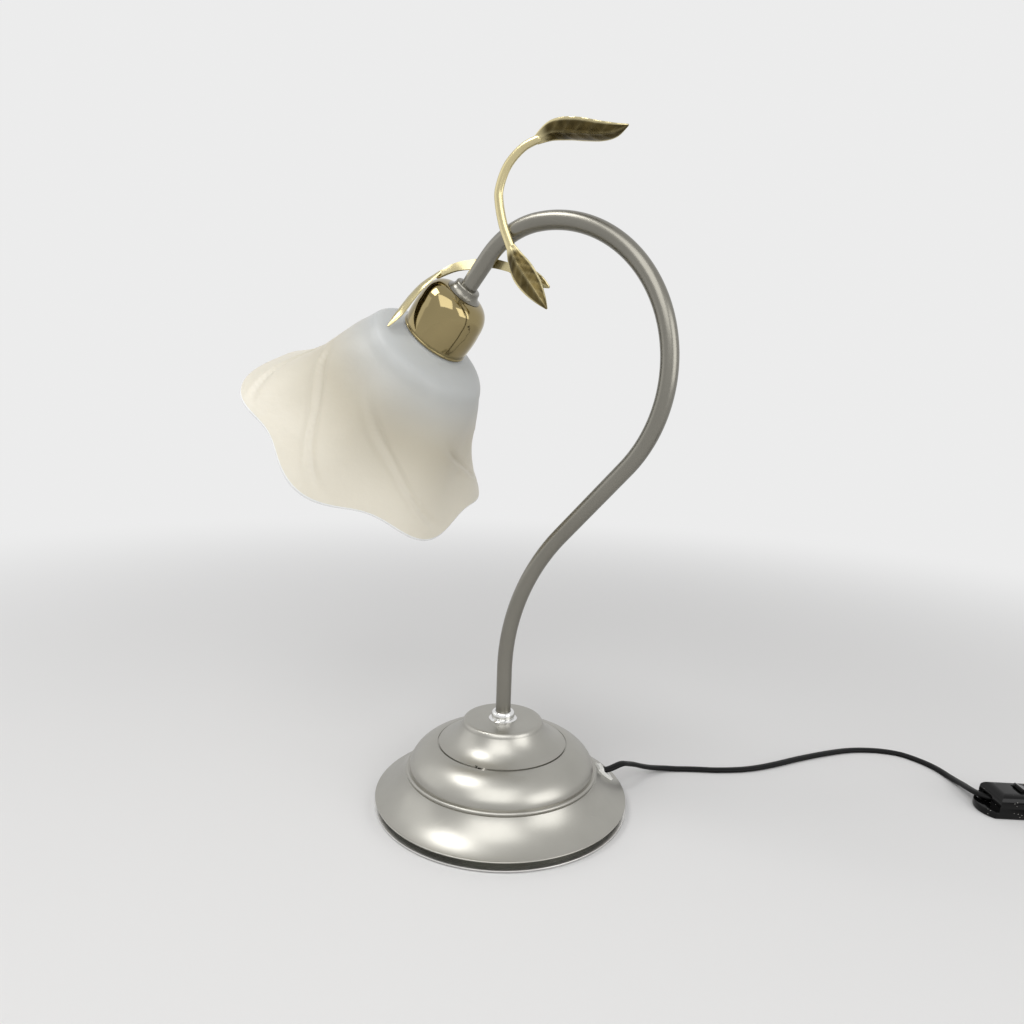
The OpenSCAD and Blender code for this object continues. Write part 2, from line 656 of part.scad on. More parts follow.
// ---------- cord ----------
// Route of the cord on the table, chosen by hand: x, y and height of its middle
lie_z = cord_h / 2;
switch_at = [281.3, 183.8];             // tip of the switch's lower half
switch_az = 30;                         // direction of the switch from +X
nose = 8;                               // the lower half stands out this far at each end
axis_z = 8.4;                           // height of the cord in the switch
function in_switch(x, y) = concat(switch_at + [x * cos(switch_az) - y * sin(switch_az),
                                               x * sin(switch_az) + y * cos(switch_az)], axis_z);
switch_in = in_switch(nose + 2.5, 1.5);
switch_out = in_switch(switch_len - nose - 2.5, 1.5);
run_route = concat(
    [cord_exit, cord_exit + 4 * clip_dir],
    [[62, 63, 18.6], [63.5, 70.5, 16], [66, 79, 12.5], [69, 87, 8.6], [73.5, 96, 5],
     [80, 105, 2.7]],
    [for (p = [[88.5, 112], [99, 119], [113, 127.5], [127.5, 139], [138, 150.5], [148.5, 165.5],
               [159, 182.5], [170.5, 199.5], [182.5, 215.5], [192, 226], [202, 234], [214, 240.5],
               [227, 243.5], [240, 240.5], [252, 234.2], [261.6, 225]])
        [p[0], p[1], lie_z]],
    [[268, 216, 3], [272.2, 208.8, 4.6], [276, 201, 6.2], [279.6, 195, 7.5],
     [283.4, 191.4, 8.2], [286.6, 190.2, axis_z], switch_in]);
module cord_run() {
    color("black")
    skin(cord_rings(run_route, [for (i = [0:len(run_route) - 1]) level_across(run_route, i)],
                    cord_w, cord_h, 10));
}

// ---------- switch ----------
split_z = 8.4;
nose_z = 5.2;                          // top of the lower half's ends, under the cord
module at_switch() {
    translate([switch_at[0], switch_at[1], 0]) rotate([0, 0, switch_az]) children();
}
// A long plate with shallow round ends
module oval(length, width) {
    end_r = 0.64 * width;
    intersection() {
        square([length, width], center = true);
        union() {
            for (s = [-1, 1]) translate([s * (length / 2 - end_r), 0]) circle(r = end_r);
            square([length - 2 * end_r, 2 * end_r], center = true);
        }
    }
}
module housing(inset) {
    translate([switch_len / 2, 0]) oval(switch_len - 2 * inset, switch_w - 2 * inset);
}
module between_ends(inset, low, high) {
    translate([nose + inset, -switch_w, low])
        cube([switch_len - 2 * nose - 2 * inset, 2 * switch_w, high - low]);
}
module mouths() {
    for (x = [nose - 1, switch_len - nose - 5]) translate([x, -2.4, axis_z - 2.3]) cube([6, 9.6, 4.6]);
}
boss_x = [17, switch_len - 17];
boss_y = 6.4;
screw_r = 1.3;
module switch_base() {
    color("black")
    at_switch() difference() {
        union() {
            difference() {
                union() {
                    translate([0, 0, 1.2]) linear_extrude(nose_z - 1.2) housing(0);
                    linear_extrude(1.2) housing(0.9);
                    intersection() {
                        translate([0, 0, nose_z - 1]) linear_extrude(split_z - nose_z + 1) housing(0);
                        between_ends(0, 0, split_z);
                    }
                }
                intersection() {
                    translate([0, 0, switch_t]) linear_extrude(split_z) housing(switch_t);
                    between_ends(switch_t, 0, split_z + 5);
                }
            }
            for (i = [0, 1]) translate([boss_x[i], (2 * i - 1) * boss_y, 0.8])
                cylinder(r = 3, h = split_z - 0.8);
        }
        for (i = [0, 1]) translate([boss_x[i], (2 * i - 1) * boss_y, -1]) {
            cylinder(r = screw_r + seat_gap, h = split_z + 2);
            cylinder(r = screw_head_r + seat_gap, h = 1 + screw_head_h);
        }
        mouths();
    }
}

// The top half carries the rocker in a window between two cheeks
mid_x = switch_len / 2;
window_len = rocker_len + 2 * run_gap + 0.8;
window_w = rocker_w + 2 * run_gap;
pin_r = 1;
pin_z = switch_h - 3.4;
cheek_t = 1.6;
module switch_top() {
    color("black")
    at_switch() difference() {
        union() {
            difference() {
                intersection() {
                    union() {
                        translate([0, 0, split_z]) linear_extrude(switch_h - 3 - split_z) housing(0);
                        translate([0, 0, switch_h - 3]) linear_extrude(1.4) housing(1.2);
                        translate([0, 0, switch_h - 1.6]) linear_extrude(1.6) housing(3.2);
                    }
                    between_ends(0, 0, switch_h + 1);
                }
                intersection() {
                    translate([0, 0, split_z - 1]) linear_extrude(switch_h - split_z + 1 - switch_t)
                        housing(switch_t + 2.8);
                    between_ends(switch_t, 0, switch_h);
                }
            }
            for (i = [0, 1]) translate([boss_x[i], (2 * i - 1) * boss_y, split_z])
                cylinder(r = 3, h = switch_h - 1.2 - split_z);
            for (s = [-1, 1]) translate([mid_x - 4, s * (window_w + cheek_t) / 2 - cheek_t / 2, split_z + 1.6])
                cube([8, cheek_t, switch_h - 1.2 - split_z - 1.6]);
        }
        translate([mid_x - window_len / 2, -window_w / 2, split_z - 1])
            cube([window_len, window_w, switch_h]);
        translate([mid_x, -window_w, pin_z]) rotate([-90, 0, 0])
            cylinder(r = pin_r + slip / 2, h = 2 * window_w, $fn = 32);
        for (i = [0, 1]) translate([boss_x[i], (2 * i - 1) * boss_y, split_z - 1])
            cylinder(r = screw_r + slip, h = 6);
        mouths();
    }
}

// Side view of the rocker: two sloping faces that meet at a shallow angle over the pin
module switch_rocker() {
    half_l = rocker_len / 2;
    color("black")
    at_switch() translate([mid_x, 0, pin_z]) rotate([0, rocker_a, 0]) difference() {
        rotate([90, 0, 0]) linear_extrude(rocker_w, center = true) polygon([
            [-half_l, -0.6], [-half_l + 0.2, 4.4], [-half_l + 1, 4.9], [0, 3.3], [half_l - 1, 4.9],
            [half_l - 0.2, 4.4], [half_l, -0.6], [2.6, -2.6], [-2.6, -2.6]]);
        rotate([90, 0, 0]) cylinder(r = pin_r + slip, h = rocker_w + 2, center = true, $fn = 32);
    }
}
module switch_pin() {
    color("silver")
    at_switch() translate([mid_x, 0, pin_z]) rotate([90, 0, 0])
        cylinder(r = pin_r, h = window_w + 2 * cheek_t, center = true, $fn = 32);
}
screw_head_r = 2.4;
screw_head_h = 2.2;
module switch_screws() {
    color("silver")
    at_switch() for (i = [0, 1]) translate([boss_x[i], (2 * i - 1) * boss_y, 0.4]) difference() {
        union() {
            cylinder(r = screw_head_r, h = screw_head_h - 0.4);
            cylinder(r = screw_r, h = split_z + 3);
        }
        translate([-0.4, -3, -1]) cube([0.8, 6, 1.7]);
    }
}

// ---------- coil and plug ----------
coil_at = [404, 170];
coil_pitch = cord_w + 0.5;
layer_z = cord_h + 0.8;
coil_steps = 24;
lead = cord_w + 1;
plug_x = coil_at[0] + 14;
plug_axis_z = plug_h / 2;
coil_in = [coil_at[0] - lead, coil_at[1] + coil_r, lie_z];
function coil_point(q) =
    let (a = 90 - 360 * q, r = coil_r - coil_pitch * (coil_turns - abs(q - coil_turns)))
    [coil_at[0] + r * cos(a), coil_at[1] + r * sin(a),
     lie_z + layer_z * ease((q - coil_turns) / 0.5 + 0.5)];
wound = [for (i = [0:2 * coil_turns * coil_steps]) coil_point(i / coil_steps)];
plug_in = [plug_x, coil_at[1] + coil_r, plug_axis_z];
coil_route = concat([coil_in, coil_in + [lead / 2, 0, 0]], wound,
                    [plug_in - [lead + 2, 0, 0.4], plug_in - [lead, 0, 0], plug_in]);
module cord_coil() {
    color("black")
    skin(cord_rings(coil_route, [for (i = [0:len(coil_route) - 1]) level_across(coil_route, i)],
                    cord_w, cord_h, 6));
}
// Least gap between turns, measured as if each section were its own oval
function oval_gap(a, b) = let (d = b - a, flat = norm([d[0], d[1]]))
    norm([flat, d[2]]) - norm([flat * cord_w, d[2] * cord_h]) / max(0.01, norm([flat, d[2]]));
echo(least_gap_in_coil = min([for (i = [0:len(wound) - 1])
    for (j = [i + 12:1:len(wound) - 1]) oval_gap(wound[i], wound[j])]));

tail_route = concat([switch_out, in_switch(switch_len - 4, 1.5)],
    [[339, 218.8, 8], [344.5, 221.2, 6.3], [350.2, 222.7, 4.3], [356, 223, 2.5]],
    [for (p = [[362, 222.2], [368, 220.4], [374, 218], [380, 215.6], [386, 213.6], [391.4, 212.3]])
        [p[0], p[1], lie_z]],
    [coil_in - [2, 0, 0], coil_in]);
module cord_tail() {
    color("black")
    skin(cord_rings(tail_route, [for (i = [0:len(tail_route) - 1]) level_across(tail_route, i)],
                    cord_w, cord_h, 10));
}

relief_len = 22;
module plug_body() {
    body_x = relief_len;
    color("black")
    translate(plug_in) difference() {
        union() {
            rotate([0, 90, 0]) cylinder(r1 = cord_w / 2 + 0.9, r2 = 5.2, h = relief_len + 1);
            intersection() {
                translate([0, 0, -plug_h / 2]) linear_extrude(plug_h) polygon([
                    [body_x, -5.6], [body_x + 6, -10], [body_x + plug_len - 4, -plug_w / 2],
                    [body_x + plug_len, -plug_w / 2 + 1.5], [body_x + plug_len, plug_w / 2 - 1.5],
                    [body_x + plug_len - 4, plug_w / 2], [body_x + 6, 10], [body_x, 5.6]]);
                rotate([90, 0, 90]) linear_extrude(body_x + plug_len + 1) polygon([
                    [-plug_w / 2, -2.6], [-9, -plug_h / 2], [9, -plug_h / 2], [plug_w / 2, -2.6],
                    [plug_w / 2, 2.6], [9, plug_h / 2], [-9, plug_h / 2], [-plug_w / 2, 2.6]]);
            }
        }
        for (s = [-1, 1]) translate([body_x + plug_len - 6, s * 9.3, 0]) rotate([0, 90, 0])
            cylinder(r = 2 + slip, h = 8, $fn = 40);
    }
}
module plug_pins() {
    color("silver")
    for (s = [-1, 1]) translate(plug_in + [relief_len + plug_len - 6, s * 9.3, 0]) rotate([0, 90, 0]) {
        cylinder(r = 2, h = 24, $fn = 40);
        translate([0, 0, 24]) cylinder(r1 = 2, r2 = 1.2, h = 1, $fn = 40);
    }
}

base_shell();
base_crown();
ballast();
bottom_plate();
felt_pad();
stem_washer();
stem_collar();
lock_washer();
lock_nut();
cord_clip();
gooseneck();
inner_flex();
base_flex();
stem_front();
leaf_top();
leaf_low();
stem_rear();
leaf_cup();
leaf_back();
head_ferrule();
brass_cup();
holder_cap();
holder_body();
screw_shell();
centre_contact();
shade_ring();
glass_shade();
bulb_glass();
bulb_cap();
cord_run();
switch_base();
switch_top();
switch_rocker();
switch_pin();
switch_screws();
cord_tail();
cord_coil();
plug_body();
plug_pins();
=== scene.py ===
"""Table lamp with a bent stem, brass leaf sprays and a frosted tulip glass shade."""
import math

import bmesh
import bpy
from mathutils import Matrix, Vector
from mathutils.kdtree import KDTree


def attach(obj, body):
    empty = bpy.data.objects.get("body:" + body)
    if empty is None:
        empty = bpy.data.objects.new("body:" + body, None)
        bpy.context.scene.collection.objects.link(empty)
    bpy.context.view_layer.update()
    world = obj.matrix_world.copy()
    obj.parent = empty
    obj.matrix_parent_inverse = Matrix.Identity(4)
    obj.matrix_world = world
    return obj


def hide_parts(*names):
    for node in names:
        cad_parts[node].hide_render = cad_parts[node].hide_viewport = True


bl_info = {
    "name": "Tulip shade table lamp",
    "version": (1, 0, 0),
    "blender": (4, 5, 0),
    "location": "3D View > Sidebar > Lamp",
    "description": "Dresses the solids of a table lamp in smooth forms and finishes",
    "category": "Object",
}

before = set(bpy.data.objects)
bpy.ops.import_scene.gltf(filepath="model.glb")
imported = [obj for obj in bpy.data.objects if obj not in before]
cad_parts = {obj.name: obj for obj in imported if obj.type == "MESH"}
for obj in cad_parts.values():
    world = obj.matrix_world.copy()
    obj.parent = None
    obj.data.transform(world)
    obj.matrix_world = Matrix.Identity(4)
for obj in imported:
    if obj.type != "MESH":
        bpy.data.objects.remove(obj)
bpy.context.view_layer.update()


MM = 0.001

# ---------- sizes shared with the solids, in millimetres ----------
FOOT_R, RIM_Z, BEAD_Z, BEAD_ROUND = 86, 7.5, 25.6, 1.3
TIER_R, TIER_Z, CROWN_R, CROWN_H, CROWN_TOP_R = 62.6, 44, 43, 17.2, 25.4
SPUN_T, PLATE_T, FELT_T, BALLAST_H = 1.2, 1.2, 0.8, 18
FLOOR_Z = FELT_T + PLATE_T
GROOVE_R = FOOT_R - 3.6
SEAT_Z, SEAT_R = TIER_Z - 0.6, CROWN_R + 0.7
CROWN_Z = SEAT_Z + CROWN_H
TUBE_R, TUBE_T = 5, 1
HOLE_R = TUBE_R + 0.05
BALLAST_TOP = SEAT_Z - SPUN_T
TUBE_FOOT_Z = BALLAST_TOP - BALLAST_H - 1 - 6 - 2
RISE_Z, BEND1_R, BEND1_A, LEAN, BEND2_R, BEND2_A = 95, 140, 42.5, 58, 78, 137
BEND3_R, HEAD_A, DROP, THREAD = 49.5, 42, 20, 9
CUP_LEN, CUP_R, CUP_T, FERRULE_H = 33, 21.4, 0.8, 6
CUP_Z = FERRULE_H - 0.5
CUP_RIM = CUP_Z + CUP_LEN
HOLDER_Z = CUP_Z + CUP_T + 14.2
FLANGE_Z = HOLDER_Z + 4.3 + 2
NECK_R = CUP_R - CUP_T - 0.4
FLANGE_HOLE_R = 14 + 0.15
GLASS_T, SHADE_LEN, RIM_R, LOBES, LOBE_AT, SLANT_AT = 2.6, 98, 85.2, 6, 9.5, 85
LOBE_OUT, LOBE_DOWN, SLANT, MOUTH_SHIFT, BELLY_SHIFT = 4.1, 3.3, 7.5, 3.3, 2.8
BULB_Z, CAP_LEN, CAP_R, BULB_R = HOLDER_Z + 5.2, 20.5, 7, 22.5
CORD_W, CORD_H = 5.4, 3.4
SPRAY_W, SPRAY_H, LEAF_T = 5.6, 1.7, 0.9
SWITCH_LEN, SWITCH_W, SWITCH_H, NOSE, AXIS_Z, SPLIT_Z, NOSE_Z = 66, 26.5, 17, 8, 8.4, 8.4, 5.2
SWITCH_AT, SWITCH_AZ = (281.3, 183.8), 30
ROCKER_W, ROCKER_LEN, ROCKER_A = 10, 17, 8
CLIP_AZ, CLIP_TILT, CLIP_OUT = 43, 12, 2
PLUG_H = 13.8
COIL_AT, COIL_R, COIL_TURNS = (404, 170), 42, 3.5
BACKGROUND = (0.84, 0.84, 0.84, 1)
EYE, TURN, DIP, ROLL = (0.2464, -0.3897, 0.2678), 31.99, 15.94, 1.94
SENSOR, FOCAL, SHIFT_X, SHIFT_Y = 36, 740 / 1024 * 36, 0.00166, 0.0962


# ---------- curves ----------
def arc(x, z, across, up, degrees):
    return [Vector((x + across * math.cos(math.radians(q)), z + up * math.sin(math.radians(q))))
            for q in degrees]


def bezier(a, b, c, d, n):
    a, b, c, d = Vector(a), Vector(b), Vector(c), Vector(d)
    steps = [i / n for i in range(n + 1)]
    return [(1 - t) ** 3 * a + 3 * (1 - t) ** 2 * t * b + 3 * (1 - t) * t * t * c + t ** 3 * d
            for t in steps]


def heading(points, i):
    way = points[min(i + 1, len(points) - 1)] - points[max(i - 1, 0)]
    return way.normalized()


def beside(points, distance):
    """A profile moved to its left side."""
    moved = []
    for i, p in enumerate(points):
        h = heading(points, i)
        moved.append(Vector((p[0] - distance * h[1], p[1] + distance * h[0])))
    return moved


def between(rows, i, t):
    """A point of the smooth curve through the rows, the share t past row i."""
    around = rows[max(i - 1, 0)], rows[i], rows[i + 1], rows[min(i + 2, len(rows) - 1)]
    return [0.5 * (2 * q + t * (r - p) + t * t * (2 * p - 5 * q + 4 * r - s)
                   + t ** 3 * (3 * q - p - 3 * r + s)) for p, q, r, s in zip(*around)]


def smooth_rows(rows, n):
    out = [between(rows, i, k / n) for i in range(len(rows) - 1) for k in range(n)]
    return out + [list(rows[-1])]


def ease(t):
    t = min(1.0, max(0.0, t))
    return t * t * (3 - 2 * t)


# ---------- the stem's line, in the XZ plane ----------
def face_dir(h):
    return Vector((math.cos(math.radians(h)), -math.sin(math.radians(h))))


def run_dir(h):
    return Vector((math.sin(math.radians(h)), math.cos(math.radians(h))))


HEAD1, HEAD2, HEAD3 = BEND1_A, BEND1_A - BEND2_A, -(180 - HEAD_A)
CENTER1 = Vector((BEND1_R, RISE_Z))
BEND1_END = CENTER1 - BEND1_R * face_dir(HEAD1)
LEAN_END = BEND1_END + LEAN * run_dir(HEAD1)
CENTER2 = LEAN_END - BEND2_R * face_dir(HEAD1)
BEND2_END = CENTER2 + BEND2_R * face_dir(HEAD2)
CENTER3 = BEND2_END - BEND3_R * face_dir(HEAD2)
BEND3_END = CENTER3 + BEND3_R * face_dir(HEAD3)
HEAD_AT = BEND3_END + DROP * run_dir(HEAD3)
AT_HEAD = (Matrix.Translation((HEAD_AT[0] * MM, 0, HEAD_AT[1] * MM))
           @ Matrix.Rotation(math.radians(HEAD3), 4, "Y"))
TOUCH = TUBE_R + SPRAY_H * 0.3


def on_bend3(h):
    p = CENTER3 + BEND3_R * face_dir(h)
    return Vector((p[0], 0, p[1]))


FRONT_AT = on_bend3(-112) + Vector((0, -TOUCH, 0))
REAR_AT = on_bend3(-137) + Vector((0, TOUCH, 0))


# ---------- settings ----------
def length(name, description, default, least, most):
    return bpy.props.FloatProperty(
        name=name, description=description, default=default, min=least, max=most, unit="LENGTH")


def tint(name, description, default):
    return bpy.props.FloatVectorProperty(
        name=name, description=description, subtype="COLOR", size=3, min=0, max=1, default=default)


class LampSizes(bpy.types.PropertyGroup):
    edge_round: length("Edge round", "Radius of the moulded edges of the switch", 0.0007, 0.0002, 0.0012)
    crease_depth: length("Crease depth", "Depth of the folds between the glass petals", 0.0020, 0, 0.003)
    petal_swell: length("Petal swell", "How far each glass petal swells above the rim", 0.0008, 0, 0.002)
    vein_height: length("Vein height", "Height of the veins on the leaves", 0.00022, 0, 0.0005)
    rim_roll: length("Rim roll", "How far the brass cup's rim is rolled out", 0.0003, 0, 0.0008)


class LampFinishes(bpy.types.PropertyGroup):
    nickel: tint("Satin nickel", "Colour of the base", (0.40, 0.39, 0.355))
    # the tube's tint is a darker copy of the base's satin nickel: painted dark reflection of the
    # surroundings
    tube: tint("Stem nickel painted reflection", "Colour of the bent tube", (0.24, 0.23, 0.20))
    brass: tint("Cup brass", "Colour of the polished cup", (0.31, 0.25, 0.125))
    leaf: tint("Leaf brass", "Colour of the bright leaf faces", (0.62, 0.54, 0.31))
    patina: tint("Leaf patina", "Colour of the darkened leaf faces", (0.062, 0.047, 0.018))
    # the neck and belly tints are darker than the glass itself: painted shade under the cup with a painted
    # reflection of the cup, and painted shade of the hollow round the bulb; the mouth tint is the glass's
    # own ivory
    glass_neck_painted_shade: tint("Glass near the cup painted shade", "Colour of the glass at its neck, darkened as painted shade and reflection", (0.49, 0.505, 0.50))
    glass_warm: tint("Glass at the mouth", "Colour of the glass at its mouth", (0.74, 0.69, 0.575))
    glass_belly_painted_shade: tint("Glass at the belly painted shade", "Colour of the glass round the bulb, darkened as painted shade", (0.56, 0.515, 0.41))
    floor: tint("Floor", "Colour of the floor", (0.82, 0.815, 0.81))


def sizes():
    return bpy.context.scene.lamp_sizes


def finishes():
    return bpy.context.scene.lamp_finishes


# ---------- modelling helpers ----------
def begin():
    if bpy.context.mode != "OBJECT":
        bpy.ops.object.mode_set(mode="OBJECT")
    bpy.ops.object.select_all(action="DESELECT")


def named(name):
    piece = bpy.context.object
    piece.name = piece.data.name = name
    return piece


def pick(piece):
    begin()
    piece.select_set(True)
    bpy.context.view_layer.objects.active = piece


def edit(piece):
    pick(piece)
    bpy.ops.object.mode_set(mode="EDIT")
    bpy.ops.mesh.select_all(action="SELECT")


def settled(piece):
    pick(piece)
    bpy.ops.object.transform_apply(location=True, rotation=True, scale=True)


def volume_of(piece):
    shape = bmesh.new()
    shape.from_mesh(piece.data)
    volume = shape.calc_volume(signed=True)
    shape.free()
    return volume


def turn_outward(piece):
    edit(piece)
    bpy.ops.mesh.normals_make_consistent(inside=False)
    begin()
    if volume_of(piece) < 0:
        edit(piece)
        bpy.ops.mesh.flip_normals()
        begin()


def placed(piece, place):
    piece.matrix_world = place
    settled(piece)


def softened(piece, angle=40):
    pick(piece)
    bpy.ops.object.shade_smooth_by_angle(angle=math.radians(angle))


def apply_all(piece):
    pick(piece)
    for modifier in list(piece.modifiers):
        bpy.ops.object.modifier_apply(modifier=modifier.name)


def rounded(piece, width, angle):
    bevel = piece.modifiers.new("edge round", "BEVEL")
    bevel.width = width
    bevel.segments = 3
    bevel.limit_method = "ANGLE"
    bevel.angle_limit = math.radians(angle)
    apply_all(piece)


WELD = 2e-6


def turned(name, profile, steps=96, place=None, angle=40):
    """A closed profile of radius and height in millimetres, spun round the axis."""
    begin()
    bpy.ops.mesh.primitive_circle_add(vertices=len(profile), radius=0.01)
    piece = named(name)
    for vertex, (r, z) in zip(piece.data.vertices, profile):
        vertex.co = (r * MM, 0, z * MM)
    edit(piece)
    bpy.ops.mesh.spin(steps=steps, angle=2 * math.pi, center=(0, 0, 0), axis=(0, 0, 1))
    bpy.ops.mesh.select_all(action="SELECT")
    bpy.ops.mesh.remove_doubles(threshold=WELD)
    bpy.ops.object.mode_set(mode="OBJECT")
    turn_outward(piece)
    if place is not None:
        placed(piece, place)
    softened(piece, angle)
    return piece


def ring_run(name, rings, angle):
    """A closed form drawn from one circle that is extruded ring by ring and capped."""
    count = len(rings[0])
    begin()
    bpy.ops.mesh.primitive_circle_add(vertices=count, radius=0.01)
    piece = named(name)
    for vertex, point in zip(piece.data.vertices, rings[0]):
        vertex.co = point
    edit(piece)
    bpy.ops.mesh.select_mode(type="EDGE")
    bpy.ops.mesh.select_all(action="SELECT")
    bpy.ops.mesh.edge_face_add()
    shape = bmesh.from_edit_mesh(piece.data)
    for face in shape.faces:
        face.select = False
    for edge in shape.edges:
        edge.select = True
    bmesh.update_edit_mesh(piece.data)
    here = [Vector(p) for p in rings[0]]
    for ring in rings[1:]:
        bpy.ops.mesh.extrude_edges_move()
        shape = bmesh.from_edit_mesh(piece.data)
        new = [v for v in shape.verts if v.select]
        if len(new) != count:
            raise RuntimeError("%s: %d of %d points drawn out" % (name, len(new), count))
        slots = {tuple(round(c, 7) for c in p): i for i, p in enumerate(here)}
        order = []
        for v in new:
            key = tuple(round(c, 7) for c in v.co)
            order.append(slots[key] if key in slots else
                         min(range(count), key=lambda i: (here[i] - v.co).length_squared))
        for v, i in zip(new, order):
            v.co = ring[i]
        here = [None] * count
        for v, i in zip(new, order):
            here[i] = v.co.copy()
        bmesh.update_edit_mesh(piece.data)
    bpy.ops.mesh.edge_face_add()
    bpy.ops.object.mode_set(mode="OBJECT")
    turn_outward(piece)
    softened(piece, angle)
    return piece


def give(piece, *names):
    piece.data.materials.clear()
    for name in names:
        piece.data.materials.append(finish(name))


def dress(piece, slot, *nodes, body="lamp"):
    """Hangs the piece under its body, hides the solids that it stands for, and gives it its slot's finish if
    it has none of its own yet.
    """
    if not any(piece.data.materials):
        give(piece, slot)
    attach(piece, body)
    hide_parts(*nodes)
    return piece


# ---------- finishes ----------
class Net:
    """A shader tree under construction, with short names for what it uses again and again."""

    def __init__(self, tree):
        self.tree = tree

    def fill(self, socket, value):
        """Links a socket to another one, or sets its value."""
        if isinstance(value, bpy.types.NodeSocket):
            self.tree.links.new(value, socket)
        else:
            socket.default_value = value

    def node(self, kind, **values):
        made = self.tree.nodes.new("ShaderNode" + kind)
        for key, value in values.items():
            self.fill(made.inputs[key.replace("_", " ")], value)
        return made

    def place(self):
        return self.node("TexCoord").outputs["Object"]

    def maths(self, operation, *values):
        made = self.node("Math")
        made.operation = operation
        for socket, value in zip(made.inputs, values):
            self.fill(socket, value)
        return made.outputs[0]

    def vectors(self, operation, *values, **named_values):
        made = self.node("VectorMath")
        made.operation = operation
        for socket, value in zip(made.inputs, values):
            self.fill(socket, value)
        for key, value in named_values.items():
            self.fill(made.inputs[key], value)
        return made.outputs["Value" if operation in ("DISTANCE", "DOT_PRODUCT", "LENGTH") else "Vector"]

    def ramp(self, value, low, high):
        """A soft step from 0 at the low value to 1 at the high one."""
        made = self.node("MapRange", Value=value, From_Min=low, From_Max=high)
        made.interpolation_type = "SMOOTHSTEP"
        return made.outputs["Result"]

    def seen(self):
        """1 on the rays that show the background itself: camera, glossy and transmission rays."""
        path = self.node("LightPath").outputs
        shown = self.maths("MAXIMUM", path["Is Camera Ray"], path["Is Glossy Ray"])
        return self.maths("MAXIMUM", shown, path["Is Transmission Ray"])

    def blend(self, share, low, high):
        made = self.node("MixShader", Fac=share)
        self.fill(made.inputs[1], low)
        self.fill(made.inputs[2], high)
        return made.outputs[0]


def fine_grain(net, place, given):
    """A value that varies about a middle in a fine grain, and the grain's height."""
    noise = net.node("TexNoise", Vector=place, Scale=given["Scale"], Detail=5, Roughness=0.6).outputs["Fac"]
    swing = net.maths("MULTIPLY", net.maths("SUBTRACT", noise, 0.5), 3.0)
    return {"Value": net.maths("MULTIPLY_ADD", swing, given["Spread"], given["Middle"]), "Height": noise}


def patchy(net, place, mask, scale, limit):
    """A mask that is kept only where a broad noise is above a limit."""
    patches = net.node("TexNoise", Vector=place, Scale=scale).outputs["Fac"]
    return {"Mask": net.maths("MULTIPLY", mask, net.maths("GREATER_THAN", patches, limit))}


def thin_scratches(net, place, given):
    """A mask of short bent lines."""
    warp = net.node("TexNoise", Vector=place, Scale=25).outputs["Color"]
    bend = net.vectors("SCALE", net.vectors("SCALE", warp, Scale=given["Bend"]), Scale=0.02)
    cells = net.node("TexVoronoi", Vector=net.vectors("ADD", place, bend), Scale=given["Scale"])
    cells.feature = "DISTANCE_TO_EDGE"
    lines = net.maths("LESS_THAN", cells.outputs["Distance"], given["Width"])
    return patchy(net, place, lines, 45, 0.6)


def broad_clouds(net, place, given):
    """A soft mask for stains, tarnish and handling marks."""
    noise = net.node("TexNoise", Vector=place, Scale=given["Scale"], Detail=3).outputs["Fac"]
    mask = net.maths("MULTIPLY_ADD", net.maths("SUBTRACT", noise, 0.5), given["Sharpness"], 0.5)
    mask.node.use_clamp = True
    return {"Mask": mask}


def scattered_specks(net, place, given):
    """A mask of round specks, thicker in some patches than in others."""
    cells = net.node("TexVoronoi", Vector=place, Scale=given["Scale"])
    return patchy(net, place, net.maths("LESS_THAN", cells.outputs["Distance"], given["Size"]), 120, 0.58)


def group_of(build, labels):
    """The node group of a pattern, with named inputs and outputs, built on its first use."""
    name = build.__name__.replace("_", " ")
    if name not in bpy.data.node_groups:
        tree = bpy.data.node_groups.new(name, "ShaderNodeTree")
        for label in labels:
            tree.interface.new_socket(name=label, in_out="INPUT", socket_type="NodeSocketFloat")
        net = Net(tree)
        results = build(net, net.place(), tree.nodes.new("NodeGroupInput").outputs)
        end = tree.nodes.new("NodeGroupOutput")
        for label, result in results.items():
            tree.interface.new_socket(name=label, in_out="OUTPUT", socket_type="NodeSocketFloat")
            net.fill(end.inputs[label], result)
    return bpy.data.node_groups[name]


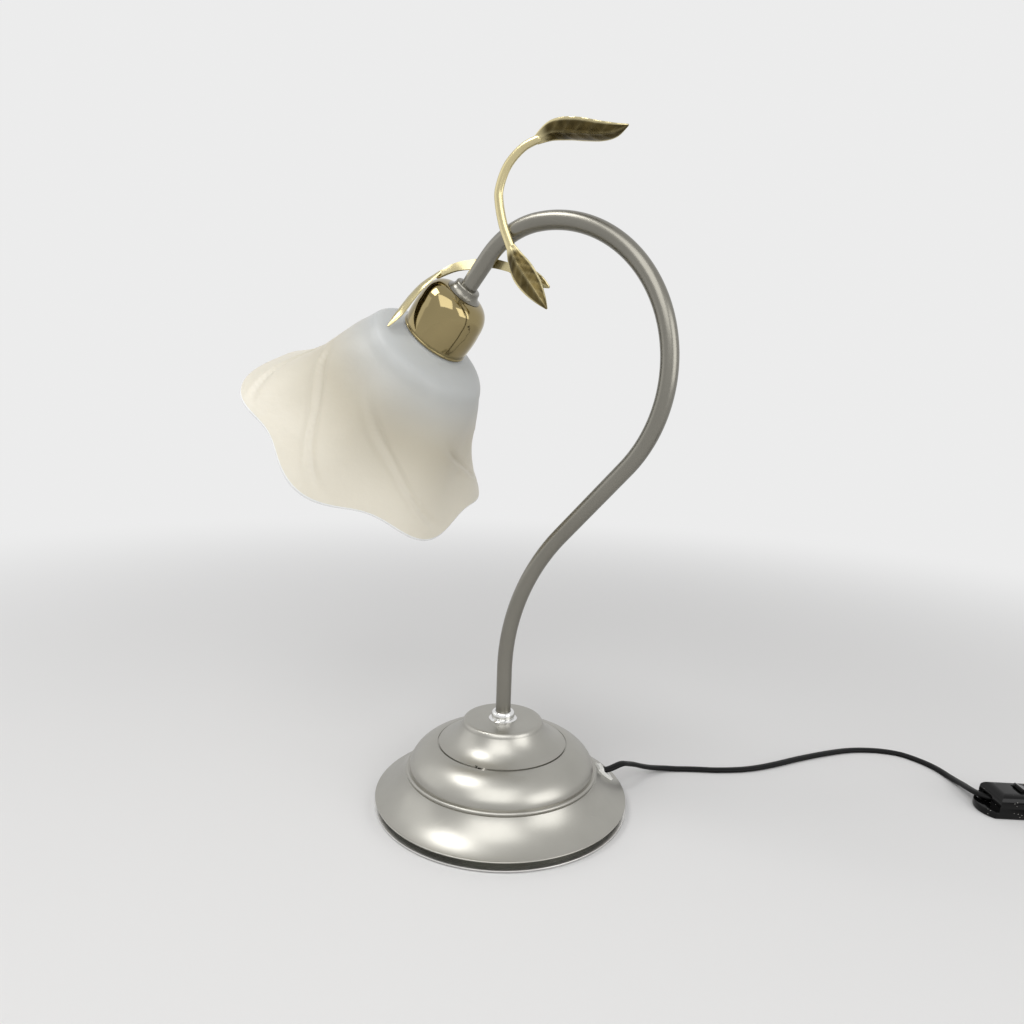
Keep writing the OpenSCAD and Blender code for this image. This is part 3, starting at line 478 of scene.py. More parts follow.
class Finish(Net):
    """A material under construction."""

    def __init__(self, name):
        self.material = bpy.data.materials.new(name)
        self.material.use_nodes = True
        super().__init__(self.material.node_tree)
        self.shader = self.tree.nodes["Principled BSDF"]
        self.bump = None

    def pattern(self, build, **values):
        """A node group in this material with its own values; its outputs."""
        made = self.tree.nodes.new("ShaderNodeGroup")
        made.node_tree = group_of(build, list(values))
        for key, value in values.items():
            made.inputs[key].default_value = value
        return made.outputs

    def set(self, **values):
        for key, value in values.items():
            self.fill(self.shader.inputs[key.replace("_", " ")], value)

    def mix(self, mask, low, high):
        made = self.tree.nodes.new("ShaderNodeMix")
        made.data_type = "RGBA"
        self.fill(made.inputs["Factor"], mask)
        for key, value in (("A", low), ("B", high)):
            self.fill(made.inputs[key], value if isinstance(value, bpy.types.NodeSocket) else (*value, 1))
        return made.outputs["Result"]

    def clouds(self, scale, sharpness, low, high):
        mask = self.pattern(broad_clouds, Scale=scale, Sharpness=sharpness)["Mask"]
        return self.mix(mask, low, high)

    def grained(self, scale, middle, spread):
        """Lets the roughness vary in a fine grain, and gives the grain's height."""
        fine = self.pattern(fine_grain, Scale=scale, Middle=middle, Spread=spread)
        self.set(Roughness=fine["Value"])
        return fine["Height"]

    def colour(self, out):
        self.set(Base_Color=out)

    def coloured(self):
        return self.shader.inputs["Base Color"].links[0].from_socket

    def relief(self, height, strength, distance=0.0002):
        bump = self.node("Bump", Strength=strength, Distance=distance, Height=height)
        if self.bump is not None:
            self.fill(bump.inputs["Normal"], self.bump.outputs["Normal"])
        self.set(Normal=bump.outputs["Normal"])
        self.bump = bump


def times(colour, k):
    return tuple(min(1.0, c * k) for c in colour)


def metal(name, colour, rough, spread=0.04, grain=700.0, scratched=0.006, clouded=0.08, relief=0.03):
    f = Finish(name)
    f.set(Metallic=1.0, Roughness=rough)
    tone = f.clouds(38.0, 2.5, times(colour, 1 - clouded), times(colour, 1 + clouded * 0.5))
    scratches = f.pattern(thin_scratches, Scale=70.0, Width=scratched, Bend=1.0)
    f.colour(f.mix(scratches["Mask"], tone, times(colour, 1.05)))
    f.relief(f.grained(grain, rough, spread), relief)
    return f


def plastic(name, colour, rough, spread=0.05, relief=0.05, shine=0.5):
    f = Finish(name)
    f.set(Specular_IOR_Level=shine, Roughness=rough)
    f.colour(f.clouds(60.0, 2.0, times(colour, 0.9), times(colour, 1.1)))
    f.relief(f.grained(900.0, rough, spread), relief)
    return f


def rough_skin(name, scale, detail, low, high, relief, depth, **values):
    """A dull surface whose one noise gives both its colour and its relief."""
    f = Finish(name)
    f.set(**values)
    skin = f.node("TexNoise", Vector=f.place(), Scale=scale, Detail=detail).outputs["Fac"]
    f.colour(f.mix(skin, low, high))
    f.relief(skin, relief, depth)
    return f


CHIP_AT, CHIP_RAGGED = Vector((0.0112, -0.0412, 0.0440)), 0.0022
CHIP_SPOTS = (((0.0031, 0.0007, 0.0010), 0.0013, (0.85, 0.83, 0.78)),
              ((0, 0, 0), 0.0014, (0.035, 0.03, 0.025)),
              ((-0.0026, 0.0008, 0.0010), 0.0011, (0.05, 0.045, 0.04)))


def satin_nickel():
    """Plated steel with a small chip at the crown's lower edge, dark with a bright lip."""
    f = metal("satin nickel", finishes().nickel, 0.34, spread=0.03, grain=500.0, clouded=0.06, relief=0.01)
    place = f.place()
    ragged = f.node("TexNoise", Vector=place, Scale=900.0).outputs["Color"]
    near = f.vectors("MULTIPLY_ADD", ragged, (CHIP_RAGGED,) * 3, place)
    shown = f.coloured()
    for offset, radius, shade in CHIP_SPOTS:
        away = f.vectors("DISTANCE", near, CHIP_AT + Vector(offset))
        shown = f.mix(f.maths("LESS_THAN", away, radius), shown, shade)
    f.colour(shown)
    return f


def etched_glass():
    """White glass that turns warmer and lighter from its neck over the belly to its mouth: the darker grey
    neck is painted shade under the cup with a painted reflection of the cup, the darker belly is painted
    shade of the hollow and the bulb behind the glass, and the mouth shows the glass's own ivory.
    """
    f = Finish("etched white glass")
    f.set(Roughness=0.42, IOR=1.5, Subsurface_Weight=0.22, Subsurface_Radius=(0.012, 0.011, 0.010),
          Subsurface_Scale=1.0)
    place, way = f.place(), AT_HEAD.to_3x3() @ Vector((0, 0, 1))
    along, start = f.vectors("DOT_PRODUCT", place, way), AT_HEAD.translation.dot(way)
    clouds = f.pattern(broad_clouds, Scale=18.0, Sharpness=1.6)["Mask"]
    cool, body, warm = [
        f.mix(clouds, times(shade, 1 - swing), times(shade, 1 + swing)) for shade, swing in (
            (finishes().glass_neck_painted_shade, 0.03), (finishes().glass_belly_painted_shade, 0.05), (finishes().glass_warm, 0.03))]
    # darker neck and belly: painted shade, with a painted reflection of the cup at the neck
    near = f.mix(f.ramp(along, start + 0.042, start + 0.086), cool, body)
    f.colour(f.mix(f.ramp(along, start + 0.076, start + 0.124), near, warm))
    f.relief(f.node("TexNoise", Vector=place, Scale=95.0, Detail=3.0).outputs["Fac"], 0.25, 0.0012)
    f.relief(f.grained(1200.0, 0.42, 0.05), 0.06)
    return f


def cut_edge():
    f = Finish("polished glass edge")
    f.set(Roughness=0.12, Coat_Weight=0.6)
    f.colour(f.clouds(80.0, 2.0, (0.86, 0.87, 0.86), (0.93, 0.93, 0.92)))
    f.grained(300.0, 0.14, 0.04)
    return f


def opal_bulb():
    f = Finish("opal bulb")
    f.set(Roughness=0.3, Subsurface_Weight=0.1, Subsurface_Radius=(0.006, 0.006, 0.006))
    f.colour(f.clouds(60.0, 1.5, (0.82, 0.82, 0.80), (0.88, 0.88, 0.86)))
    f.grained(700.0, 0.32, 0.04)
    return f


def leaf_brass(name, rough):
    return metal(name, finishes().leaf, rough, spread=0.05, grain=420.0, clouded=0.16)


def veined_brass():
    """Darkened brass whose rim and veins are bright, by the leaf's own attribute: partly rubbed wear, partly
    a painted highlight of glints on the raised rim and veins.
    """
    f = leaf_brass("veined leaf brass", 0.27)
    rubbed_and_glint = f.node("Attribute")
    rubbed_and_glint.attribute_name = "rubbed_and_glint"
    dark = f.clouds(150.0, 3.5, times(finishes().patina, 0.75), times(finishes().patina, 1.7))
    f.colour(f.mix(rubbed_and_glint.outputs["Fac"], dark, f.coloured()))
    return f


def dusty_gloss():
    """Glossy black moulding with specks of dust."""
    f = plastic("glossy black", (0.002, 0.002, 0.002), 0.10, spread=0.04, shine=0.22, relief=0.01)
    specks = f.pattern(scattered_specks, Scale=520.0, Size=0.16)
    f.colour(f.mix(specks["Mask"], f.coloured(), (0.30, 0.29, 0.27)))
    return f


MAKERS = {
    "satin_nickel": satin_nickel,
    # darker copy of the satin nickel for the tube and the ferrule: painted dark reflection of the
    # surroundings
    "stem_nickel_painted_reflection": lambda: metal("pearl nickel tube painted reflection", finishes().tube, 0.29, spread=0.02, grain=600.0,
                                 clouded=0.05, relief=0.006),
    "chrome": lambda: metal("polished chrome", (0.80, 0.80, 0.79), 0.10, spread=0.03, relief=0.01),
    "cast_iron": lambda: rough_skin("raw cast iron", 300.0, 6.0, (0.05, 0.05, 0.05), (0.13, 0.125, 0.12),
                                    0.5, 0.0004, Metallic=0.7, Roughness=0.7),
    "plate_steel": lambda: metal("closing plate steel", (0.70, 0.69, 0.67), 0.35),
    "zinc_steel": lambda: metal("zinc plate", (0.55, 0.55, 0.52), 0.38, clouded=0.2),
    "felt": lambda: rough_skin("green felt", 1500.0, 4.0, (0.02, 0.035, 0.02), (0.06, 0.09, 0.055),
                               0.6, 0.0005, Roughness=0.95),
    "white_nylon": lambda: plastic("white nylon", (0.80, 0.80, 0.77), 0.38, relief=0.08),
    "leaf_brass": lambda: leaf_brass("bright leaf brass", 0.25),
    "veined_brass": veined_brass,
    # a near-black copy of the steel for the foot's groove: painted shade in the recess
    "shadow_steel": lambda: metal("recess steel painted shade", (0.07, 0.07, 0.06), 0.45),
    "polished_brass": lambda: metal("polished brass", finishes().brass, 0.09, spread=0.03, grain=500.0,
                                    scratched=0.002, clouded=0.06, relief=0.008),
    "holder_plastic": lambda: plastic("holder plastic", (0.78, 0.75, 0.66), 0.45),
    "frosted_glass": etched_glass,
    "cut_edge": cut_edge,
    "bulb_glass": opal_bulb,
    "black_cord": lambda: plastic("black cord sheath", (0.003, 0.003, 0.003), 0.45, shine=0.16, relief=0.04),
    "black_gloss": dusty_gloss,
    "black_satin": lambda: plastic("moulded black", (0.02, 0.02, 0.021), 0.5, relief=0.12),
}


def finish(name):
    key = "lamp " + name
    if key not in bpy.data.materials:
        MAKERS[name]().material.name = key
    return bpy.data.materials[key]


# ---------- stage ----------
class LAMP_OT_stage(bpy.types.Operator):
    """Set up the camera, the floor, the lights and the pale background"""
    bl_idname = "lamp.stage"
    bl_label = "Stage"

    def execute(self, context):
        turn, dip, roll = math.radians(TURN), math.radians(DIP), math.radians(ROLL)
        look = Vector((-math.sin(turn) * math.cos(dip), math.cos(turn) * math.cos(dip), -math.sin(dip)))
        level = Vector((math.cos(turn), math.sin(turn), 0))
        upright = level.cross(look)
        right = math.cos(roll) * level + math.sin(roll) * upright
        up = math.cos(roll) * upright - math.sin(roll) * level
        begin()
        bpy.ops.object.camera_add()
        camera = named("photo_camera")
        place = Matrix((right, up, -look)).transposed().to_4x4()
        place.translation = EYE
        camera.matrix_world = place
        camera.data.sensor_width, camera.data.lens = SENSOR, FOCAL
        camera.data.shift_x, camera.data.shift_y = SHIFT_X, SHIFT_Y
        camera.data.clip_start = 0.01
        context.scene.camera = camera
        context.scene.view_settings.view_transform = "Standard"
        self.floor()
        self.sky(context.scene)
        self.lights()
        return {"FINISHED"}

    def floor(self):
        """A wide floor that passes into the pale background far from the lamp."""
        begin()
        bpy.ops.mesh.primitive_plane_add(size=8, location=(0, 1.5, 0))
        ground = named("studio_floor")
        settled(ground)
        edit(ground)
        bpy.ops.mesh.subdivide(number_cuts=7)
        begin()
        f = Finish("pale studio floor")
        f.set(Roughness=0.75)
        f.colour(f.clouds(1.2, 1.0, times(finishes().floor, 0.99), times(finishes().floor, 1.01)))
        share = f.maths("MULTIPLY", f.ramp(f.vectors("LENGTH", f.place()), 0.30, 1.30), f.seen())
        pale = f.node("Emission", Color=BACKGROUND, Strength=1.0)
        shown = f.blend(share, f.shader.outputs["BSDF"], pale.outputs[0])
        f.fill(f.tree.nodes["Material Output"].inputs["Surface"], shown)
        ground.data.materials.append(f.material)

    def sky(self, scene):
        """The background shows pale, and lights the lamp less than it shows."""
        scene.world = bpy.data.worlds.new("pale studio")
        scene.world.use_nodes = True
        net = Net(scene.world.node_tree)
        net.tree.nodes.clear()
        seen = net.node("Background", Color=BACKGROUND, Strength=1.0)
        lit = net.node("Background", Color=(1, 1, 1, 1), Strength=0.36)
        net.node("OutputWorld", Surface=net.blend(net.seen(), lit.outputs[0], seen.outputs[0]))

    def lights(self):
        for name, spot, aim, size, power in (
                ("window_light", (0.45, -1.0, 1.2), (0, 0, 0.12), 1.25, 9.0),
                ("left_light", (-1.3, -0.6, 0.7), (-0.05, 0, 0.2), 1.1, 1.6),
                ("right_light", (1.3, -0.1, 0.6), (0, 0, 0.2), 0.9, 5.0),
                ("top_light", (-0.5, -0.45, 1.35), (0, 0, 0.3), 0.5, 5.2)):
            begin()
            bpy.ops.object.light_add(type="AREA", location=spot)
            lamp = named(name)
            lamp.data.shape = "SQUARE"
            lamp.data.size = size
            lamp.data.energy = power
            lamp.rotation_euler = (Vector(aim) - Vector(spot)).to_track_quat("-Z", "Y").to_euler()


# ---------- cords ----------
def foot_flare(start, steps):
    """The foot's concave flare, from its rim up to the bead."""
    return bezier((start, RIM_Z), (FOOT_R - 6.5, RIM_Z + 2),
                  (TIER_R + 7.6, RIM_Z + 7.5), (TIER_R + 2.8, BEAD_Z - 1.2), steps)


CLIP_SEAT = foot_flare(FOOT_R - 0.4, 12)[7]
CLIP_TURN = Matrix.Rotation(math.radians(CLIP_AZ), 3, "Z")
CLIP_DIR = CLIP_TURN @ Matrix.Rotation(math.radians(-CLIP_TILT), 3, "Y") @ Vector((1, 0, 0))
CORD_EXIT = CLIP_TURN @ Vector((CLIP_SEAT[0], 0, CLIP_SEAT[1] + 1.6)) + CLIP_OUT * CLIP_DIR


def in_switch(x, y, z=AXIS_Z):
    """A point given in the switch's own frame, in millimetres."""
    a = math.radians(SWITCH_AZ)
    return Vector((SWITCH_AT[0] + x * math.cos(a) - y * math.sin(a),
                   SWITCH_AT[1] + x * math.sin(a) + y * math.cos(a), z))


SWITCH_IN, SWITCH_OUT = in_switch(NOSE + 2.5, 1.5), in_switch(SWITCH_LEN - NOSE - 2.5, 1.5)
LIE_Z = CORD_H / 2
RUN_POINTS = (
    [CORD_EXIT, CORD_EXIT + 4 * CLIP_DIR]
    + [Vector(p) for p in ((62, 63, 18.6), (63.5, 70.5, 16), (66, 79, 12.5), (69, 87, 8.6),
                           (73.5, 96, 5), (80, 105, 2.7))]
    + [Vector((x, y, LIE_Z)) for x, y in (
        (88.5, 112), (99, 119), (113, 127.5), (127.5, 139), (138, 150.5), (148.5, 165.5),
        (159, 182.5), (170.5, 199.5), (182.5, 215.5), (192, 226), (202, 234), (214, 240.5),
        (227, 243.5), (240, 240.5), (252, 234.2), (261.6, 225))]
    + [Vector(p) for p in ((268, 216, 3), (272.2, 208.8, 4.6), (276, 201, 6.2), (279.6, 195, 7.5),
                           (283.4, 191.4, 8.2), (286.6, 190.2, AXIS_Z), SWITCH_IN)])
COIL_PITCH, LAYER_Z, LEAD, COIL_STEPS = CORD_W + 0.5, CORD_H + 0.8, CORD_W + 1, 36
COIL_IN = Vector((COIL_AT[0] - LEAD, COIL_AT[1] + COIL_R, LIE_Z))
PLUG_IN = Vector((COIL_AT[0] + 14, COIL_AT[1] + COIL_R, PLUG_H / 2))


def coil_point(q):
    a = math.radians(90 - 360 * q)
    r = COIL_R - COIL_PITCH * (COIL_TURNS - abs(q - COIL_TURNS))
    return Vector((COIL_AT[0] + r * math.cos(a), COIL_AT[1] + r * math.sin(a),
                   LIE_Z + LAYER_Z * ease((q - COIL_TURNS) / 0.5 + 0.5)))


TAIL_POINTS = (
    [SWITCH_OUT, in_switch(SWITCH_LEN - 4, 1.5)]
    + [Vector(p) for p in ((339, 218.8, 8), (344.5, 221.2, 6.3), (350.2, 222.7, 4.3), (356, 223, 2.5))]
    + [Vector((x, y, LIE_Z)) for x, y in ((362, 222.2), (368, 220.4), (374, 218), (380, 215.6),
                                          (386, 213.6), (391.4, 212.3))]
    + [COIL_IN - Vector((2, 0, 0)), COIL_IN])
COIL_POINTS = (
    [COIL_IN + Vector((LEAD / 2, 0, 0))]
    + [coil_point(i / COIL_STEPS) for i in range(int(2 * COIL_TURNS * COIL_STEPS) + 1)]
    + [PLUG_IN - Vector((LEAD + 2, 0, 0.4)), PLUG_IN - Vector((LEAD, 0, 0)), PLUG_IN])


def cord_form(name, points, sides):
    """A flat twin cord of rounded section along points in millimetres."""
    rings = []
    for i, p in enumerate(points):
        h = heading(points, i)
        across = Vector((0, 0, 1)).cross(h).normalized()
        up = h.cross(across)
        ring = []
        for j in range(sides):
            q = 2 * math.pi * (j + 0.5) / sides
            c, s = math.cos(q), math.sin(q)
            x = CORD_W / 2 * math.copysign(abs(c) ** 0.86, c)
            y = CORD_H / 2 * math.copysign(abs(s) ** 0.8, s)
            ring.append((p + across * x + up * y) * MM)
        rings.append(ring)
    return ring_run(name, rings, angle=60)


def laid(points):
    """A smooth line through the points that never dips into the table."""
    return [Vector((x, y, max(z, LIE_Z))) for x, y, z in smooth_rows(points, 4)]


class LAMP_OT_cords(bpy.types.Operator):
    """Lay the cord from the foot to the switch, and on to its coil and plug"""
    bl_idname = "lamp.cords"
    bl_label = "Cords"

    def execute(self, context):
        dress(cord_form("cord_to_switch", laid(RUN_POINTS), 20), "black_cord", "cord_run")
        tail = laid(TAIL_POINTS) + COIL_POINTS
        piece = dress(cord_form("cord_to_plug", tail, 12), "black_cord", "cord_tail", "cord_coil")
        return {"FINISHED"}


# ---------- base ----------
class LAMP_OT_foot(bpy.types.Operator):
    """Spin the foot with its middle tier, and the closing plate's lip"""
    bl_idname = "lamp.foot"
    bl_label = "Foot"

    def execute(self, context):
        flare = foot_flare(FOOT_R - 0.55, 40)
        tier = bezier((TIER_R, BEAD_Z + BEAD_ROUND), (TIER_R + 0.4, BEAD_Z + 8.6),
                      (SEAT_R + 8.2, TIER_Z - 0.4), (SEAT_R + 0.3, TIER_Z), 36)
        bead = arc(TIER_R + 1.2, BEAD_Z, BEAD_ROUND, BEAD_ROUND, range(-50, 111, 10))
        rim = arc(FOOT_R - 0.55, RIM_Z - 0.5, 0.55, 0.5, range(-70, 90, 20))
        inner_flare = [p for p in beside(flare, SPUN_T) if p[0] < GROOVE_R - SPUN_T]
        inner_tier = [p for p in beside(tier, SPUN_T) if p[1] < BALLAST_TOP]
        profile = ([(GROOVE_R - SPUN_T, FLOOR_Z), (GROOVE_R, FLOOR_Z), (GROOVE_R, RIM_Z - 2.4),
                    (GROOVE_R + 0.5, RIM_Z - 1.8), (GROOVE_R + 1.6, RIM_Z - 1.3)]
                   + rim + flare + bead + tier
                   + [(SEAT_R + 0.05, TIER_Z - 0.12), (SEAT_R, TIER_Z - 0.3), (SEAT_R, SEAT_Z),
                      (HOLE_R, SEAT_Z), (HOLE_R, BALLAST_TOP), (SEAT_R - 2, BALLAST_TOP)]
                   + inner_tier[::-1] + inner_flare[::-1] + [(GROOVE_R - SPUN_T, RIM_Z - 0.8)])
        foot = turned("foot_pressing", profile, 192, angle=30)
        give(foot, "satin_nickel", "shadow_steel")
        dress(foot, "satin_nickel", "base_shell")
        # the groove wall's faces take the dark shadow_steel finish: painted shade in the recess above the
        # plate's lip
        for face in foot.data.polygons:
            x, y, z = face.center / MM
            if z < RIM_Z - 1.2 and abs(math.hypot(x, y) - GROOVE_R - 0.5) < 1.3:
                face.material_index = 1
        lip_r, rib_r = FOOT_R + 0.4, GROOVE_R - SPUN_T - 0.15
        plate = turned("closing_plate", [
            (0.02, FELT_T), (lip_r - 0.6, FELT_T), (lip_r - 0.2, FELT_T + 0.12), (lip_r, FELT_T + 0.5),
            (lip_r, FLOOR_Z - 0.5), (lip_r - 0.2, FLOOR_Z - 0.12), (lip_r - 0.6, FLOOR_Z), (rib_r, FLOOR_Z),
            (rib_r, FLOOR_Z + 3.5), (rib_r - PLATE_T, FLOOR_Z + 3.5), (rib_r - PLATE_T, FLOOR_Z),
            (0.02, FLOOR_Z)], 192, angle=30)
        dress(plate, "plate_steel", "bottom_plate")
        return {"FINISHED"}


class LAMP_OT_crown(bpy.types.Operator):
    """Spin the crown that sits in the foot's seat"""
    bl_idname = "lamp.crown"
    bl_label = "Crown"

    def execute(self, context):
        curve = ([Vector((CROWN_R - 0.5, SEAT_Z + 0.06)), Vector((CROWN_R - 0.15, SEAT_Z + 0.2)),
                  Vector((CROWN_R, SEAT_Z + 0.5))]
                 + bezier((CROWN_R, SEAT_Z + 1), (CROWN_R - 6, SEAT_Z + 2.4),
                          (CROWN_TOP_R + 5.6, SEAT_Z + 6.6), (CROWN_TOP_R + 2, CROWN_Z - 3.4), 36)
                 + bezier((CROWN_TOP_R + 1.9, CROWN_Z - 3.2), (CROWN_TOP_R + 1.3, CROWN_Z - 1),
                          (CROWN_TOP_R + 0.6, CROWN_Z), (CROWN_TOP_R - 1.4, CROWN_Z), 14))
        inner = [p - Vector((0.9, 0.9)) * SPUN_T for p in curve[5:]]
        profile = ([(CROWN_R - SPUN_T, SEAT_Z)] + curve
                   + [(HOLE_R, CROWN_Z), (HOLE_R, CROWN_Z - SPUN_T)] + inner[::-1])
        dress(turned("crown_pressing", profile, 160, angle=30), "satin_nickel", "base_crown")
        return {"FINISHED"}


class LAMP_OT_collar(bpy.types.Operator):
    """Turn the collar and its washer at the foot of the stem"""
    bl_idname = "lamp.collar"
    bl_label = "Collar"

    def execute(self, context):
        z = CROWN_Z
        washer = turned("stem_washer_ring", [
            (HOLE_R, z), (9.4, z), (9.5, z + 0.1), (9.5, z + 0.3), (9.3, z + 0.5),
            (8.9, z + 0.72), (8.5, z + 0.88), (8.1, z + 1), (HOLE_R, z + 1)])
        dress(washer, "chrome", "stem_washer")
        foot, top = z + 1, z + 1 + 4.8
        round_over = bezier((7.8, foot + 1), (7.85, top - 0.6), (6.9, top), (HOLE_R + 0.4, top), 16)
        collar = turned("stem_collar_ring",
                        [(HOLE_R, foot), (7.2, foot), (7.5, foot + 0.15), (7.7, foot + 0.5)]
                        + round_over + [(HOLE_R + 0.12, top - 0.08), (HOLE_R, top - 0.3)])
        dress(collar, "chrome", "stem_collar")
        return {"FINISHED"}


# ---------- stem ----------
class LAMP_OT_stem(bpy.types.Operator):
    """Draw the tube up from the base, bend it three times and hollow it"""
    bl_idname = "lamp.stem"
    bl_label = "Stem"

    def execute(self, context):
        begin()
        bpy.ops.mesh.primitive_circle_add(vertices=64, radius=TUBE_R * MM, location=(0, 0, TUBE_FOOT_Z * MM))
        tube = named("bent_tube")
        settled(tube)
        edit(tube)
        bpy.ops.mesh.select_mode(type="EDGE")
        bpy.ops.mesh.select_all(action="SELECT")
        for step in range(4):
            self.draw(Vector((0, (RISE_Z - TUBE_FOOT_Z) / 4)))
        self.bend(CENTER1, BEND1_A, (0, -1, 0), 32)
        for step in range(2):
            self.draw(LEAN / 2 * run_dir(HEAD1))
        self.bend(CENTER2, BEND2_A, (0, 1, 0), 110)
        self.bend(CENTER3, HEAD2 - HEAD3, (0, 1, 0), 40)
        self.draw((DROP + THREAD) * run_dir(HEAD3))
        bpy.ops.mesh.select_all(action="SELECT")
        bpy.ops.mesh.remove_doubles(threshold=WELD)
        bpy.ops.mesh.normals_make_consistent(inside=False)
        begin()
        top = max(v.co.z for v in tube.data.vertices)
        if abs(top - (CENTER2[1] + BEND2_R + TUBE_R) * MM) > 0.0005:
            raise RuntimeError("the tube's top is at %.4f" % top)
        wall = tube.modifiers.new("wall", "SOLIDIFY")
        wall.thickness = TUBE_T * MM
        wall.offset = -1
        apply_all(tube)
        turn_outward(tube)
        softened(tube)
        # the tube takes the darker nickel copy: painted dark reflection
        give(tube, "stem_nickel_painted_reflection")
        dress(tube, "satin_nickel", "gooseneck")
        return {"FINISHED"}

    def draw(self, way):
        bpy.ops.mesh.extrude_edges_move(TRANSFORM_OT_translate={"value": (way[0] * MM, 0, way[1] * MM)})

    def bend(self, centre, angle, axis, steps):
        bpy.ops.mesh.spin(steps=steps, angle=math.radians(angle), axis=axis,
                          center=(centre[0] * MM, 0, centre[1] * MM))


# ---------- leaf sprays ----------
# rows along a strip or leaf in millimetres: middle, side, half width, and a leaf's bow
HALF = SPRAY_W / 2
FRONT_ROWS = [
    (16.5, 3.2, 43.6, 0.5, -0.2, -0.9, HALF * 0.8), (6.3, 1.8, 40.2, 0.5, -0.1, -0.9, HALF * 0.85),
    (-3, 0.8, 32.3, 0.85, 0, -0.5, HALF * 0.95), (-7.7, 0.2, 21.6, 1, 0, -0.1, HALF),
    (-7.6, 0, 14, 1, 0, 0.1, HALF), (-5, 0, 3.8, 0.95, 0, 0.35, HALF),
    (-1.8, 0, -3.8, 0.9, 0, 0.45, HALF), (2.6, -0.6, -12, 0.85, 0, 0.5, HALF * 1.05)]
LOW_ROWS = [
    (1.8, -1.4, -9.5, 0.85, 0, 0.5, 2.8, 0.4), (5.4, -1.8, -16, 0.8, 0.1, 0.62, 5, 1.5),
    (11.1, -2.6, -23.4, 0.75, 0.2, 0.66, 6.6, 2.2), (17.8, -3.6, -30.8, 0.7, 0.3, 0.7, 5.9, 2),
    (24.4, -4.8, -37.8, 0.66, 0.3, 0.75, 3.4, 1.2), (29.4, -5.8, -43.2, 0.66, 0.3, 0.75, 0.5, 0.2)]
TOP_ROWS = [
    (13.6, 2.6, 42.8, -0.4, -0.3, 0.85, 2.6, 0.3), (22.5, 2.4, 45.8, -0.1, -0.6, 0.78, 5.4, 1.2),
    (32, 2, 45.6, 0, -0.78, 0.62, 7.3, 1.9), (42, 1.4, 43.8, 0, -0.8, 0.6, 7.6, 1.8),
    (52.5, 0.4, 41.4, 0, -0.8, 0.6, 6.5, 1.4), (61.5, -0.8, 40.3, 0, -0.8, 0.6, 4.4, 0.8),
    (69.2, -1.6, 41.1, 0, -0.8, 0.6, 0.5, 0.1)]
REAR_ROWS = [
    (14.4, 1.5, -6.8, -0.3, 0, -0.95, HALF * 0.85), (5.9, 0.5, -4.2, -0.3, 0, -0.95, HALF * 0.9),
    (-2.1, 0, -2.5, -0.1, 0, -1, HALF * 0.95), (-9.1, -0.5, -2.2, 0, -0.05, -1, HALF),
    (-14.2, -2.5, -2.9, 0.1, -0.25, -0.95, HALF), (-21.6, -9.5, -5.1, 0.2, -0.5, -0.85, HALF),
    (-29.6, -17.8, -10.6, 0.4, -0.7, -0.6, HALF * 0.9)]
CUP_ROWS = [
    (-27.3, -16.2, -8.2, 0.44, -0.81, -0.39, 2.6, -0.2), (-34.4, -22.9, -15.8, 0.56, -0.66, -0.5, 4.4, -0.7),
    (-40.9, -26.2, -23, 0.6, -0.59, -0.54, 4.8, -0.8), (-46.2, -30.8, -31.7, 0.66, -0.47, -0.59, 3.4, -0.5),
    (-49.2, -38.4, -40.2, 0.71, -0.28, -0.64, 0.5, -0.1)]
BACK_ROWS = [
    (9.9, 2.1, -5.4, -0.35, 0.2, -0.92, 2.4, 0.3), (16.6, 2.8, -7.7, -0.4, 0.3, -0.88, 4, 0.9),
    (24, 3, -10.8, -0.42, 0.3, -0.86, 4.4, 1), (31, 3, -14, -0.45, 0.3, -0.84, 3.2, 0.6),
    (36.7, 3, -17.1, -0.45, 0.3, -0.84, 0.6, 0.1)]
TOP_SHARE = 0.87


def slimmer(rows, share):
    return [(*row[:6], row[6] * share, *row[7:]) for row in rows]


def turned_over(rows):
    return [(*row[:3], *(-x for x in row[3:6]), *row[6:]) for row in rows]


def station_axes(rows, i):
    path = [Vector(row[:3]) for row in rows]
    along = heading(path, i)
    raw = Vector(rows[i][3:6])
    side = (raw - along * raw.dot(along)).normalized()
    return path[i], side, along.cross(side)


def spray_stem(name, rows, at):
    """The half-round stem of a spray, flat on the side of the tube."""
    rows = smooth_rows(rows, 10)
    across = 14
    rings = []
    for i, row in enumerate(rows):
        middle, side, up = station_axes(rows, i)
        w = row[6]
        near_end = min(i, len(rows) - 1 - i)
        shrink = (0.80, 0.93, 1.0)[min(near_end, 2)]
        ring = []
        for k in range(across + 1):
            u = -math.cos(math.pi * k / across)
            lift = SPRAY_H * math.sqrt(max(0, 1 - u * u)) + 0.25
            ring.append(middle + side * (w * u * shrink) + up * (lift * shrink))
        for k in range(across + 1):
            u = math.cos(math.pi * k / across) * 0.97
            ring.append(middle + side * (w * u * shrink) - up * 0.25 * shrink)
        rings.append([(p + at) * MM for p in ring])
    return ring_run(name, rings, 50)


